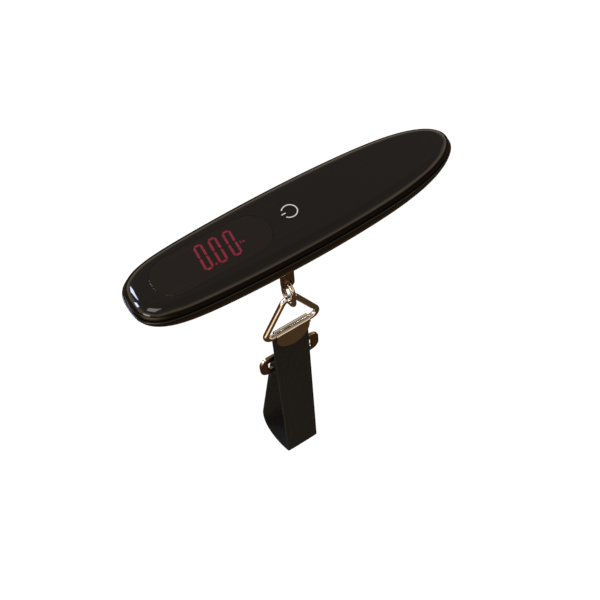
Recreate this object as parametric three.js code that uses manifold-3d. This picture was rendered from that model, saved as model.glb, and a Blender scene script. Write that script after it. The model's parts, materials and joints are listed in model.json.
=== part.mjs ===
// Digital luggage scale: a slim two-part handle with a smoked display window, a load cell and two
// AAA cells inside, and a steel hanger, link, triangular ring, clamp and webbing loop below it.
// Millimetres, +Z up. The origin is the middle of the handle's length, on the seam between the
// top cover and the bottom shell. The display end points to -X. The webbing hangs along -Z.

import * as THREE from 'three';
import { mergeVertices } from 'three/addons/utils/BufferGeometryUtils.js';
import Module from 'manifold-3d';

const wasm = await Module();
wasm.setup();

// ---------------------------------------------------------------- driving dimensions

// Handle
const cellDiameter = 10.5;
const bodyLength = 152;
const bodyWidth = cellDiameter * 2 + 15.9; // two cells side by side, and room beside them
const widestX = -3; // the handle is widest here
const bowlDepth = cellDiameter + 4.1; // seam to the flat of the underside
const coverHeight = 5.2; // seam to the face
const wall = 1.8;
const roof = 1.6; // the cover's thickness under its face
const gap = 0.3; // between pieces that meet
const fineGap = 0.1; // between pieces that are pressed together
const coverInset = 0.9; // the cover's edge stands inside the shell's rim
const bevelWidth = 3.2; // rounded edge of the cover
const bowlPower = 2.2; // fullness of the bowl's section
const wallGrip = 0.4; // how far ribs and pillars run into the wall that they stand on
const landShare = 0.34; // the underside's flat, as a share of the outline
const outlineSteps = 60;

// Display
const lensLength = 52;
const lensWidth = 19.5;
const lensEndX = -12.7; // the lens's end nearest the middle
const lensFlange = 1.2;
const lensFlangeThickness = 0.5;
const moduleLength = 32;
const moduleWidth = 15;
const moduleInset = 10; // from the lens's end to the end of the light module
const moduleCorner = 1;
const boardThickness = 1.2;
const boardTop = -1;
const boardWidth = 22;
const boardCorner = 2;
const boardScrewRoom = 5; // from the end screw to the board
const boardHangerRoom = 9; // from the hanger to the board
const chipInset = 9;

// Touch key
const keyX = -2.6;
const keyRadius = 5.5;
const foilThickness = 0.3;
const foilStrip = 2.4; // width of the foil that runs from the key to its spring
const touchSpringRadius = 1.4;
const springWire = 0.5;
const springTurnRoom = 0.8; // an end turn's outside above the wire's own middle, in wires

// Cells and their bay
const cellLength = 43.5;
const cellEdge = 0.5;
const nubDiameter = 3.8;
const nubLength = 1;
const springLength = 3.2;
const cellSpring = { foot: 3.6, head: 2.4 };
const contactThickness = 0.4;
const contactShare = 0.36; // half a contact's width, as a share of a cell's diameter
const bayStartX = 7.5;
const ribThickness = 1.5;
const doorInset = 3.5; // from the bay's start to the door
const doorLength = 40;
const doorWidth = 18;
const doorCorner = 4;
const tab = { spacing: 5, halfWidth: 1.5, reach: 1.6, root: 2, thickness: 1, footInset: 0.4, footDrop: 1.2 };
const leadDiameter = 1.1;
const leadY = 8.2;

// Load cell and hanger
const hangerX = -7;
const beamLength = 43;
const beamWidth = 10;
const beamHeight = 5.8;
const beamClearance = 2; // over the shell's floor
const beamEndRoom = 6; // from the hanger to the beam's free end
const beamThinWall = 0.8; // over and under the dumbbell hole's ends
const beamScrewInset = 3.5;
const beamScrewPitch = 7;
const beamPillarRadius = 2.9;
const gaugeInset = 10; // from the hanger to the first gauge
const gaugePitch = 12;
const gaugeWidth = 4.4;
const shankDiameter = 4.4;
const collar = { rim: 1, height: 1.8, chamfer: 0.2, room: 0.6 };
const nutRadius = 4;
const nutHeight = 2.2;
const washerRadius = 4.2;
const washerThickness = 0.8;
const threadEnd = 0.8; // shank above the nut
const bushWall = 1.6;
const bushRim = 0.8;
const bushFlange = 1.2;
const eyeDrop = 28.6; // underside to the eye's tip
const eyeWidth = 6.5;
const eyeThickness = 2.2;
const eyeTipWall = 1.9;
const linkWire = 2.2;
const linkInnerWidth = 6.5;
const linkOuterLength = 17.2;

// Ring, clamp, webbing and buckle plate
const ringWire = 3;
const ringHeight = 24.4; // between the middles of the wire at apex and base
const ringSideRoom = 4.75; // clamp's end to the middle of the ring's outermost wire
const ringCornerRadius = 3.2;
const ringApexRadius = 4.5;
const webWidth = 20;
const webThickness = 1.4;
const clampShort = 1.5; // the clamp is this much shorter than the webbing is wide
const clampWall = 0.5;
const flapDepth = 13.2; // ring's base to the lowest point of the clamp's flaps
const creaseDrop = 130.7; // ring's base to the crease at the bottom of the front layer
const lobeReach = 28.2; // how far back the loop's back layer stands at its foot
const lobeRise = 4.5; // the foot of the back layer above the crease
const plateLength = 34.5;
const plateThickness = 1.8;
const plateCorner = 5;
const lowerBar = 3.6;
const slotHeight = 6.8;
const upperBar = 4.1;
const slotSideRoom = 2.75; // on each side of the webbing
const plateBack = 5.2; // the plate's middle behind the front layer's middle
const plateDrop = 38.1; // ring's base to the middle of the plate's lower bar
const slotCorner = 1.2;
const flapStart = 8; // from where the webbing leaves the bar to the sewn end's start
const flapLength = 11; // the sewn end of the webbing

// ---------------------------------------------------------------- materials

function finish(color, roughness, metalness) {
  return new THREE.MeshStandardMaterial({ color, roughness, metalness });
}

const glossBlack = finish(0x14110f, 0.12, 0);
const smokedBlack = finish(0x1a1310, 0.06, 0);
const mattBlack = finish(0x1b1b1b, 0.6, 0);
const boardGreen = finish(0x1f5a3a, 0.5, 0);
const ledWhite = finish(0xd8d6d0, 0.5, 0);
const copper = finish(0xb87347, 0.35, 1);
const nickel = finish(0xb9b2a6, 0.25, 1);
const chrome = finish(0xc9c2b8, 0.08, 1);
const bronze = finish(0x6b5238, 0.22, 1);
const aluminium = finish(0xaeb0b2, 0.4, 1);
const cellSleeve = finish(0x3a4a63, 0.4, 0);
const gaugeAmber = finish(0xb5772a, 0.5, 0);
const webbing = finish(0x1c1a18, 0.85, 0);
const leadRed = finish(0x9c1f1f, 0.5, 0);

// ---------------------------------------------------------------- shapes and booleans

// A geometry as a manifold solid: vertices merged, and triangles that shrank to a line left out.
function solid(geometry) {
  const bare = geometry.clone();
  bare.deleteAttribute('normal');
  bare.deleteAttribute('uv');
  const merged = mergeVertices(bare, 1e-4);
  const index = merged.index.array;
  const triangles = [];
  for (let i = 0; i < index.length; i += 3) {
    const [a, b, c] = [index[i], index[i + 1], index[i + 2]];
    if (a !== b && b !== c && c !== a) triangles.push(a, b, c);
  }
  const mesh = new wasm.Mesh({
    numProp: 3,
    vertProperties: merged.attributes.position.array,
    triVerts: Uint32Array.from(triangles),
  });
  return new wasm.Manifold(mesh);
}

function geometryOf(manifold) {
  const { vertProperties, triVerts } = manifold.getMesh();
  const geometry = new THREE.BufferGeometry();
  geometry.setAttribute('position', new THREE.BufferAttribute(vertProperties, 3));
  geometry.setIndex(new THREE.BufferAttribute(triVerts, 1));
  geometry.computeVertexNormals();
  return geometry;
}

function cut(geometry, ...tools) {
  return geometryOf(tools.reduce((rest, tool) => rest.subtract(solid(tool)), solid(geometry)));
}

function join(geometry, ...others) {
  return geometryOf(others.reduce((whole, other) => whole.add(solid(other)), solid(geometry)));
}

function common(geometry, other) {
  return geometryOf(solid(geometry).intersect(solid(other)));
}

// A shape in the XY plane, extruded from z0 up to z1.
function prism(shape, z0, z1) {
  const geometry = new THREE.ExtrudeGeometry(shape, { depth: z1 - z0, bevelEnabled: false, curveSegments: 8 });
  return geometry.translate(0, 0, z0);
}

function cylinder(radius, z0, z1, x = 0, y = 0, segments = 24) {
  const geometry = new THREE.CylinderGeometry(radius, radius, z1 - z0, segments);
  return geometry.rotateX(Math.PI / 2).translate(x, y, (z0 + z1) / 2);
}

function box(x0, x1, y0, y1, z0, z1) {
  const geometry = new THREE.BoxGeometry(x1 - x0, y1 - y0, z1 - z0);
  return geometry.translate((x0 + x1) / 2, (y0 + y1) / 2, (z0 + z1) / 2);
}

// A rectangle with round corners, centred on (x, y).
function roundedRectangle(length, width, radius, x = 0, y = 0) {
  const [halfLength, halfWidth] = [length / 2 - radius, width / 2 - radius];
  const shape = new THREE.Shape();
  shape.absarc(x + halfLength, y - halfWidth, radius, -Math.PI / 2, 0);
  shape.absarc(x + halfLength, y + halfWidth, radius, 0, Math.PI / 2);
  shape.absarc(x - halfLength, y + halfWidth, radius, Math.PI / 2, Math.PI);
  shape.absarc(x - halfLength, y - halfWidth, radius, Math.PI, Math.PI * 1.5);
  shape.closePath();
  return shape;
}

// A turned piece: profile points are [radius, height], from the axis round to the axis, upwards.
function turned(profile, segments = 24) {
  const points = profile.map(([radius, height]) => new THREE.Vector2(radius, height));
  return new THREE.LatheGeometry(points, segments).rotateX(Math.PI / 2);
}

// A round wire along an open curve.
function wireAlong(curve, diameter, steps, sides) {
  const section = new THREE.Shape();
  section.absarc(0, 0, diameter / 2, 0, Math.PI * 2);
  return new THREE.ExtrudeGeometry(section, { extrudePath: curve, steps, curveSegments: sides });
}

// A closed body through rings of equally many points, with a flat lid on the first and the last.
function loft(rings) {
  const count = rings[0].length;
  const positions = rings.flat().flatMap((point) => point.toArray());
  const triangles = [];
  for (let ring = 0; ring + 1 < rings.length; ring += 1) {
    for (let i = 0; i < count; i += 1) {
      const [a, b] = [ring * count + i, ring * count + ((i + 1) % count)];
      triangles.push(a, b, a + count, b, b + count, a + count);
    }
  }
  const lids = [[0, true], [(rings.length - 1) * count, false]];
  for (const [start, reversed] of lids) {
    for (let i = 1; i + 1 < count; i += 1) {
      const [b, c] = reversed ? [i + 1, i] : [i, i + 1];
      triangles.push(start, start + b, start + c);
    }
  }
  const geometry = new THREE.BufferGeometry();
  geometry.setAttribute('position', new THREE.Float32BufferAttribute(positions, 3));
  geometry.setIndex(triangles);
  return geometry;
}

// ---------------------------------------------------------------- the handle's outline

// Each side narrows along a parabola from the widest place, and is closed by a round end. A higher
// endPower keeps the end blunt. A higher widthPower makes its corners fuller.
const displayEnd = { reach: bodyLength / 2 + widestX, endPower: 10, widthPower: 2.8, taper: 0.21 };
const tailEnd = { reach: bodyLength / 2 - widestX, endPower: 6.5, widthPower: 2, taper: 0.3 };

function outlinePoint(angle, inset) {
  const [cosine, side] = [Math.cos(angle), Math.sign(Math.sin(angle))];
  const end = cosine < 0 ? displayEnd : tailEnd;
  const fullness = (1 - Math.abs(cosine) ** end.endPower) ** (1 / end.widthPower);
  const halfWidth = (bodyWidth / 2 - inset) * fullness * (1 - end.taper * cosine ** 2);
  return new THREE.Vector2((end.reach - inset) * cosine, side * halfWidth);
}

// Angles that space the outline's points evenly along it.
function evenAngles(count) {
  const fine = 7200;
  const lengths = [0];
  for (let i = 1; i <= fine; i += 1) {
    const [from, to] = [i - 1, i].map((k) => outlinePoint((k / fine) * Math.PI * 2, 0));
    lengths.push(lengths[i - 1] + from.distanceTo(to));
  }
  const angles = [];
  let i = 0;
  for (let k = 0; k < count; k += 1) {
    while (lengths[i] < (k / count) * lengths[fine]) i += 1;
    angles.push((i / fine) * Math.PI * 2);
  }
  return angles;
}

const angles = evenAngles(outlineSteps);

// The outline at height z, set in from the edge and shrunk towards the widest place.
function handleRing(z, inset, share = 1) {
  return angles.map((angle) => {
    const point = outlinePoint(angle, inset).multiplyScalar(share);
    return new THREE.Vector3(widestX + point.x, point.y, z);
  });
}

// The bowl below the seam: rings that shrink and drop along a superellipse, down to a flat.
function bowl(inset, depth, mouthZ) {
  const steps = 6;
  const lastTurn = Math.acos(landShare ** (bowlPower / 2));
  const flatDrop = Math.sin(lastTurn) ** (2 / bowlPower);
  const rings = [];
  for (let i = steps; i >= 0; i -= 1) {
    const turn = (i / steps) * lastTurn;
    const share = Math.cos(turn) ** (2 / bowlPower);
    const drop = Math.sin(turn) ** (2 / bowlPower) / flatDrop;
    rings.push(handleRing(-depth * drop, inset, share));
  }
  if (mouthZ > 0) rings.push(handleRing(mouthZ, inset));
  return loft(rings);
}

// Height of the bowl's outside under the point (x, y).
function undersideZ(x, y) {
  const end = x < widestX ? displayEnd : tailEnd;
  const reaches = (share) => {
    const along = Math.abs(x - widestX) / (end.reach * share);
    const across = Math.abs(y) / ((bodyWidth / 2) * share * (1 - end.taper * along ** 2));
    return along ** end.endPower + across ** end.widthPower <= 1;
  };
  let [low, high] = [landShare, 1];
  for (let i = 0; i < 30; i += 1) {
    const middle = (low + high) / 2;
    if (reaches(middle)) high = middle;
    else low = middle;
  }
  const drop = (share) => (1 - share ** bowlPower) ** (1 / bowlPower);
  return (-bowlDepth * drop(high)) / drop(landShare);
}

// ---------------------------------------------------------------- case screws

const screwHeadRadius = 2.1;
const screwHeadHeight = 1.5;
const screwShankRadius = 1.1;
const screwLength = 7;
const screwSeat = 1.5; // plastic between a screw's head and its boss
const screwSink = 2.2; // how deep a head's seat lies above the shell's skin
const screwTip = 1;
const screwWall = 1; // round a screw's head
const displayScrewInset = 5.5;
const tailScrewInset = 9.5;
const sideScrewInset = 6.35;
const screwPlaces = [
  [-bodyLength / 2 + displayScrewInset, 0],
  [hangerX, bodyWidth / 2 - sideScrewInset],
  [hangerX, sideScrewInset - bodyWidth / 2],
  [bodyLength / 2 - tailScrewInset, 0],
];
const screws = screwPlaces.map(([x, y]) => ({ x, y, seatZ: undersideZ(x, y) + screwSink }));

function screwGeometry() {
  const tipStart = screwLength - screwTip;
  return turned([
    [0, -screwHeadHeight],
    [screwHeadRadius * 0.75, -screwHeadHeight],
    [screwHeadRadius, -screwHeadHeight * 0.6],
    [screwHeadRadius, 0],
    [screwShankRadius, 0],
    [screwShankRadius, tipStart],
    [0, screwLength],
  ], 16);
}

// ---------------------------------------------------------------- top cover and lens

const lensCentreX = lensEndX - lensLength / 2;

function lensShape(extra) {
  const [length, width] = [lensLength + extra * 2, lensWidth + extra * 2];
  return roundedRectangle(length, width, width / 2 - 0.01, lensCentreX);
}

function coverOutside() {
  const steps = 6;
  const rings = [];
  for (let i = 0; i <= steps; i += 1) {
    const turn = (i / steps) * (Math.PI / 2);
    const z = gap + (coverHeight - gap) * Math.sin(turn);
    rings.push(handleRing(z, coverInset + bevelWidth * (1 - Math.cos(turn))));
  }
  return loft(rings);
}

function coverInside() {
  const edge = coverInset + wall;
  return loft([
    handleRing(gap - 1, edge),
    handleRing(gap + (coverHeight - roof) * 0.4, edge),
    handleRing(coverHeight - roof, edge + bevelWidth * 0.5),
  ]);
}

function topCover() {
  const shell = cut(coverOutside(), coverInside());
  const bossRadius = screwShankRadius + wall;
  const room = bowl(wall + gap, bowlDepth - wall - gap, coverHeight);
  const bosses = screws.map(({ x, y, seatZ }) =>
    common(cylinder(bossRadius, seatZ + screwSeat + gap, coverHeight - roof / 2, x, y, 16), room));
  const pilots = screws.map(({ x, y, seatZ }) =>
    cylinder(screwShankRadius + fineGap, seatZ, seatZ + screwLength + gap, x, y, 12));
  const window = prism(lensShape(fineGap), coverHeight - roof - 1, coverHeight + 1);
  return cut(join(shell, ...bosses), ...pilots, window);
}

function displayLens() {
  const pane = prism(lensShape(0), coverHeight - roof - fineGap - lensFlangeThickness, coverHeight);
  const flangeTop = coverHeight - roof - fineGap;
  const flange = prism(lensShape(lensFlange), flangeTop - lensFlangeThickness, flangeTop);
  return join(pane, flange);
}

// ---------------------------------------------------------------- bottom shell and battery door

const floorZ = -(bowlDepth - wall);
const bayLength = nubLength + cellLength + springLength + contactThickness * 2 + gap * 4;
const bayEndX = bayStartX + bayLength;
const cellZ = coverHeight - roof - gap * 2 - cellDiameter / 2 - 0.15;
const cellY = cellDiameter / 2 + gap;
const doorStartX = bayStartX + doorInset;
const doorCentreX = doorStartX + doorLength / 2;
const bushRadius = shankDiameter / 2 + bushWall;
const beamBottom = floorZ + beamClearance;
const beamTop = beamBottom + beamHeight;
const beamEndX = hangerX + beamEndRoom;
const beamFixedX = beamEndX - beamLength;
const beamScrewPlaces = [0, 1].map((i) => beamFixedX + beamScrewInset + i * beamScrewPitch);
const beamScrewLength = 8;

function bayRib(x0, inside) {
  const slab = box(x0, x0 + ribThickness, -bodyWidth, bodyWidth, -bowlDepth * 2, -gap);
  return common(slab, inside);
}

function shellWithPillars() {
  const outside = bowl(0, bowlDepth, 0);
  const shell = cut(outside, bowl(wall, bowlDepth - wall, 2));
  const inside = bowl(wall - wallGrip, bowlDepth - wall + wallGrip, 0);
  const screwPillars = screws.map(({ x, y, seatZ }) =>
    cylinder(screwHeadRadius + gap + screwWall, -bowlDepth, seatZ + screwSeat, x, y, 20));
  const beamPillars = beamScrewPlaces.map((x) =>
    cylinder(beamPillarRadius, floorZ - wallGrip, beamBottom - fineGap, x, 0, 20));
  const pillars = [...screwPillars, ...beamPillars].map((pillar) => common(pillar, outside));
  const ribs = [bayStartX - ribThickness, bayEndX].map((x) => bayRib(x, inside));
  return join(shell, ...pillars, ...ribs);
}

const shellBeforeDoor = shellWithPillars();

function doorPrism(extra) {
  const shape = roundedRectangle(doorLength + extra * 2, doorWidth + extra * 2, doorCorner + extra, doorCentreX);
  return prism(shape, -bowlDepth * 1.5, cellZ - cellDiameter / 2 - fineGap);
}

function bottomShell() {
  const headHoles = screws.map(({ x, y, seatZ }) =>
    cylinder(screwHeadRadius + gap, -bowlDepth * 2, seatZ, x, y, 20));
  const shankHoles = screws.map(({ x, y, seatZ }) =>
    cylinder(screwShankRadius + gap, seatZ - 1, seatZ + screwSeat + 1, x, y, 16));
  const beamHoles = beamScrewPlaces.map((x) =>
    cylinder(screwShankRadius + fineGap, beamTop - beamScrewLength - gap, beamBottom, x, 0, 16));
  const bushHole = cylinder(bushRadius + fineGap, -bowlDepth * 2, floorZ + 1, hangerX, 0, 28);
  return cut(shellBeforeDoor, ...headHoles, ...shankHoles, ...beamHoles, bushHole, doorPrism(gap));
}

// The door is the patch of shell under the cells, with two tabs that hook inside the shell.
function batteryDoor() {
  const patch = common(shellBeforeDoor, doorPrism(0));
  const tabZ = undersideZ(doorStartX - tab.reach, tab.spacing + tab.halfWidth) + wall + gap;
  const endX = doorStartX + tab.root;
  const hooks = [-1, 1].flatMap((side) => {
    const [y0, y1] = [side * tab.spacing - tab.halfWidth, side * tab.spacing + tab.halfWidth];
    const top = tabZ + tab.thickness;
    return [
      box(doorStartX - tab.reach, endX, y0, y1, tabZ, top),
      box(doorStartX + tab.footInset, endX, y0, y1, tabZ - tab.footDrop, top),
    ];
  });
  return join(patch, ...hooks);
}

// ---------------------------------------------------------------- board and touch key

const boardStartX = -bodyLength / 2 + displayScrewInset + boardScrewRoom;
const boardEndX = hangerX - boardHangerRoom;
const chipX = boardStartX + chipInset;
const tabWidth = 5.4;
const touchSpringX = lensEndX + touchSpringRadius;
const tabEndX = touchSpringX + touchSpringRadius + 0.7;
const tabY = -7;
const electrodeTop = coverHeight - roof - fineGap;

// ---------------------------------------------------------------- cells and contacts

// A cell along +X from its flat end at x = 0 to the tip of its nub.
function cellGeometry() {
  const radius = cellDiameter / 2;
  const cell = turned([
    [0, 0],
    [radius * 0.7, 0],
    [radius, cellEdge],
    [radius, cellLength - cellEdge],
    [radius * 0.8, cellLength],
    [nubDiameter / 2, cellLength],
    [nubDiameter / 2, cellLength + nubLength],
    [0, cellLength + nubLength],
  ], 28);
  return cell.rotateY(Math.PI / 2);
}

function contactPlate(x0, y0, y1) {
  const half = cellDiameter * contactShare;
  return box(x0, x0 + contactThickness, y0, y1, cellZ - half, cellZ + half);
}

class Helix extends THREE.Curve {
  constructor(startRadius, endRadius, length, turns) {
    super();
    Object.assign(this, { startRadius, endRadius, length, turns });
  }

  getPoint(t, target = new THREE.Vector3()) {
    const angle = t * this.turns * Math.PI * 2;
    const radius = THREE.MathUtils.lerp(this.startRadius, this.endRadius, t);
    return target.set(Math.cos(angle) * radius, Math.sin(angle) * radius, t * this.length);
  }
}

// A conical spring standing on z = 0, its wire's outside `length` high.
function coneSpring(startRadius, endRadius, length, turns) {
  const helix = new Helix(startRadius, endRadius, length - springWire * springTurnRoom * 2, turns);
  return wireAlong(helix, springWire, turns * 12, 3).translate(0, 0, springWire * springTurnRoom);
}

// ---------------------------------------------------------------- load cell and hanger

const beamHoleRadius = beamHeight / 2 - beamThinWall;
const gaugePlaces = [hangerX - gaugeInset, hangerX - gaugeInset - gaugePitch];
const gaugeLength = 4.4;

// A beam with a dumbbell hole through it, which bends where the walls are thin.
function loadCell() {
  const side = new THREE.Shape();
  side.moveTo(beamFixedX, beamBottom);
  side.lineTo(beamEndX, beamBottom);
  side.lineTo(beamEndX, beamTop);
  side.lineTo(beamFixedX, beamTop);
  side.closePath();
  const middleZ = (beamBottom + beamTop) / 2;
  const [right, left] = gaugePlaces;
  const [radius, slotAngle] = [beamHoleRadius, 0.35];
  const hole = new THREE.Path();
  hole.absarc(right, middleZ, radius, Math.PI + slotAngle, Math.PI * 3 - slotAngle);
  hole.absarc(left, middleZ, radius, slotAngle, Math.PI * 2 - slotAngle);
  hole.closePath();
  side.holes.push(hole);
  const beam = new THREE.ExtrudeGeometry(side, { depth: beamWidth, bevelEnabled: false, curveSegments: 16 });
  beam.rotateX(Math.PI / 2).translate(0, beamWidth / 2, 0);
  const hangerHole = cylinder(shankDiameter / 2 + fineGap, beamBottom - 1, beamTop + 1, hangerX, 0);
  const screwHoles = beamScrewPlaces.map((x) =>
    cylinder(screwShankRadius + fineGap, beamBottom - 1, beamTop + 1, x, 0, 16));
  return cut(beam, hangerHole, ...screwHoles);
}

const washerTop = beamTop + fineGap + washerThickness;
const nutTop = washerTop + fineGap + nutHeight;
const eyeTipZ = -bowlDepth - eyeDrop;
const eyeHoleRadius = linkWire / 2 + 0.7;
const eyeHoleZ = eyeTipZ + eyeTipWall + eyeHoleRadius;
const eyeTopZ = -bowlDepth - gap - bushFlange - collar.room - collar.height; // the collar's underside

// A round shank with a collar, flattened below into a plate with a round end and a cross hole.
function hangerEye() {
  const shankRadius = shankDiameter / 2;
  const collarTop = eyeTopZ + collar.height;
  const shank = turned([
    [0, eyeTopZ - shankRadius],
    [shankRadius, eyeTopZ - shankRadius],
    [shankRadius + collar.rim, eyeTopZ],
    [shankRadius + collar.rim, collarTop - collar.chamfer],
    [shankRadius, collarTop],
    [shankRadius, nutTop + threadEnd],
    [0, nutTop + threadEnd],
  ], 24);
  const half = eyeWidth / 2;
  const blade = new THREE.Shape();
  const bladeTop = eyeTopZ + collar.height / 2;
  blade.moveTo(half, bladeTop);
  blade.lineTo(-half, bladeTop);
  blade.absarc(0, eyeTipZ + half, half, Math.PI, Math.PI * 2);
  blade.closePath();
  const hole = new THREE.Path();
  hole.absarc(0, eyeHoleZ, eyeHoleRadius, 0, Math.PI * 2);
  blade.holes.push(hole);
  const plate = new THREE.ExtrudeGeometry(blade, { depth: eyeThickness, bevelEnabled: false, curveSegments: 14 });
  plate.rotateX(Math.PI / 2).translate(0, eyeThickness / 2, 0);
  return join(shank, plate);
}

function hangerNut() {
  const hexagon = new THREE.CylinderGeometry(nutRadius, nutRadius, nutHeight, 6).rotateX(Math.PI / 2);
  hexagon.translate(0, 0, nutTop - nutHeight / 2);
  return cut(hexagon, cylinder(shankDiameter / 2 + fineGap, nutTop - nutHeight - 1, nutTop + 1));
}

function washer() {
  const disc = cylinder(washerRadius, beamTop + fineGap, washerTop);
  return cut(disc, cylinder(shankDiameter / 2 + fineGap, beamTop - 1, washerTop + 1));
}

function hangerBush() {
  const sleeve = cylinder(bushRadius, -bowlDepth - gap, floorZ + wallGrip, 0, 0, 28);
  const flange = cylinder(bushRadius + bushRim, -bowlDepth - gap - bushFlange, -bowlDepth - gap, 0, 0, 28);
  const bore = cylinder(shankDiameter / 2 + gap, -bowlDepth - 5, floorZ + 2, 0, 0, 28);
  return cut(join(sleeve, flange), bore);
}

// A closed wire loop in the XZ plane, standing on the middle of its lowest wire at z = 0. Its base
// is 2 x baseHalf long between the corners' centres, and all its bends are arcs.
function wireLoop({ baseHalf, cornerRadius, height, apexRadius, wire, steps, sides }) {
  const rise = height - apexRadius - cornerRadius;
  const distance = Math.hypot(baseHalf, rise);
  const lean = Math.atan2(rise, -baseHalf) - Math.acos((cornerRadius - apexRadius) / distance);
  const path = new THREE.Path();
  path.absarc(baseHalf, cornerRadius, cornerRadius, -Math.PI / 2, lean);
  path.absarc(0, height - apexRadius, apexRadius, lean, Math.PI - lean);
  path.absarc(-baseHalf, cornerRadius, cornerRadius, Math.PI - lean, Math.PI * 1.5);
  if (baseHalf > 0) path.closePath();
  const rings = [];
  for (let i = 0; i < steps; i += 1) {
    const middle = path.getPointAt(i / steps);
    const tangent = path.getTangentAt(i / steps);
    rings.push({ middle, outward: new THREE.Vector2(tangent.y, -tangent.x) });
  }
  const positions = [];
  const triangles = [];
  rings.forEach(({ middle, outward }, i) => {
    for (let k = 0; k < sides; k += 1) {
      const angle = (k / sides) * Math.PI * 2;
      const place = middle.clone().addScaledVector(outward, (Math.cos(angle) * wire) / 2);
      positions.push(place.x, (-Math.sin(angle) * wire) / 2, place.y);
      const [here, next] = [i * sides, ((i + 1) % steps) * sides];
      const after = (k + 1) % sides;
      triangles.push(here + k, next + k, here + after, next + k, next + after, here + after);
    }
  });
  const geometry = new THREE.BufferGeometry();
  geometry.setAttribute('position', new THREE.Float32BufferAttribute(positions, 3));
  geometry.setIndex(triangles);
  return geometry;
}

const linkBend = (linkInnerWidth + linkWire) / 2;
const linkTopZ = eyeHoleZ - (eyeHoleRadius - linkWire / 2 - gap); // middle of the wire in the eye
const linkBottomZ = linkTopZ + linkWire - linkOuterLength; // middle of the lowest wire
const ringTopZ = linkBottomZ + linkWire / 2 + gap + ringWire / 2;
const ringBaseZ = ringTopZ - ringHeight;

function chainLink() {
  const loop = wireLoop({
    baseHalf: 0,
    cornerRadius: linkBend,
    height: linkOuterLength - linkWire,
    apexRadius: linkBend,
    wire: linkWire,
    steps: 32,
    sides: 8,
  });
  return loop.rotateZ(Math.PI / 2).translate(0, 0, linkBottomZ);
}

const clampLength = webWidth - clampShort;

function triangleRing() {
  const loop = wireLoop({
    baseHalf: clampLength / 2 + ringSideRoom - ringCornerRadius,
    cornerRadius: ringCornerRadius,
    height: ringHeight,
    apexRadius: ringApexRadius,
    wire: ringWire,
    steps: 48,
    sides: 10,
  });
  return loop.translate(0, 0, ringBaseZ);
}

// ---------------------------------------------------------------- clamp, webbing and plate

const clampBore = ringWire / 2 + 0.25;
const clampRadius = clampBore + clampWall;
const webTopZ = ringBaseZ - clampRadius - gap;

// Sheet rolled round the ring's base, whose two ends grip the webbing as D-shaped flaps.
function strapClamp() {
  const roll = cylinder(clampRadius, -clampLength / 2, clampLength / 2, 0, 0, 28).rotateY(Math.PI / 2);
  const bore = cylinder(clampBore, -clampLength, clampLength, 0, 0, 28).rotateY(Math.PI / 2);
  const flap = new THREE.Shape();
  const shoulder = -clampRadius - 0.6;
  flap.moveTo(clampLength / 2, -clampBore * 0.5);
  flap.lineTo(-clampLength / 2, -clampBore * 0.5);
  flap.absellipse(0, shoulder, clampLength / 2, flapDepth + shoulder, Math.PI, Math.PI * 2);
  flap.closePath();
  const flaps = [-1, 1].map((side) => {
    const plate = new THREE.ExtrudeGeometry(flap, { depth: clampWall, bevelEnabled: false, curveSegments: 20 });
    const middle = webThickness / 2 + fineGap + clampWall / 2;
    return plate.rotateX(Math.PI / 2).translate(0, side * middle + clampWall / 2, 0);
  });
  return cut(join(roll, ...flaps), bore).translate(0, 0, ringBaseZ);
}

const plateBarZ = ringBaseZ - plateDrop;
const wrapEnd = Math.PI * 1.1; // how far the webbing goes round the plate's lower bar
const wrapRadius = Math.hypot(lowerBar, plateThickness) / 2 + gap + webThickness / 2;

// Middle line of the webbing, as [back, up]: down the front, round the loop's foot, up the back,
// over the plate's lower bar and down again to its sewn end.
function webbingPath() {
  const crease = new THREE.Vector2(0, ringBaseZ - creaseDrop);
  const foot = new THREE.Vector2(lobeReach, crease.y + lobeRise);
  const bar = new THREE.Vector2(plateBack, plateBarZ);
  const toFoot = foot.clone().sub(bar);
  const touchAngle = toFoot.angle() - Math.PI * 2 + Math.acos(wrapRadius / toFoot.length());
  const touch = new THREE.Vector2(Math.cos(touchAngle), Math.sin(touchAngle)).multiplyScalar(wrapRadius).add(bar);
  const down = foot.clone().sub(touch).normalize();
  const forward = new THREE.Vector2(down.y, -down.x);
  const flapTop = touch.clone().addScaledVector(down, flapStart).addScaledVector(forward, webThickness + gap);
  const flapEnd = flapTop.clone().addScaledVector(down, flapLength);
  const path = new THREE.Path();
  path.moveTo(0, webTopZ);
  path.lineTo(crease.x, crease.y);
  path.bezierCurveTo(
    lobeReach * 0.39, crease.y - lobeReach * 0.39,
    lobeReach * 1.12, crease.y - lobeReach * 0.73,
    foot.x, foot.y,
  );
  path.absarc(bar.x, bar.y, wrapRadius, touchAngle, wrapEnd);
  path.lineTo(flapTop.x, flapTop.y);
  path.lineTo(flapEnd.x, flapEnd.y);
  return path;
}

// A strip of even thickness along a middle line, as a closed outline.
function ribbonShape(middles, thickness) {
  const sides = [1, -1].map((side) => middles.map((middle, i) => {
    const before = middles[Math.max(i - 1, 0)];
    const after = middles[Math.min(i + 1, middles.length - 1)];
    const into = middle.clone().sub(i > 0 ? before : middle).normalize();
    const out = after.clone().sub(i + 1 < middles.length ? middle : after).normalize();
    const along = into.clone().add(out).normalize();
    const normal = new THREE.Vector2(-along.y, along.x);
    const last = i + 1 === middles.length;
    const stretch = last ? 1 : 1 / Math.max(0.5, Math.abs(normal.dot(new THREE.Vector2(-out.y, out.x))));
    return middle.clone().addScaledVector(normal, (side * thickness * stretch) / 2);
  }));
  return new THREE.Shape([...sides[0], ...sides[1].reverse()]);
}

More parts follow.
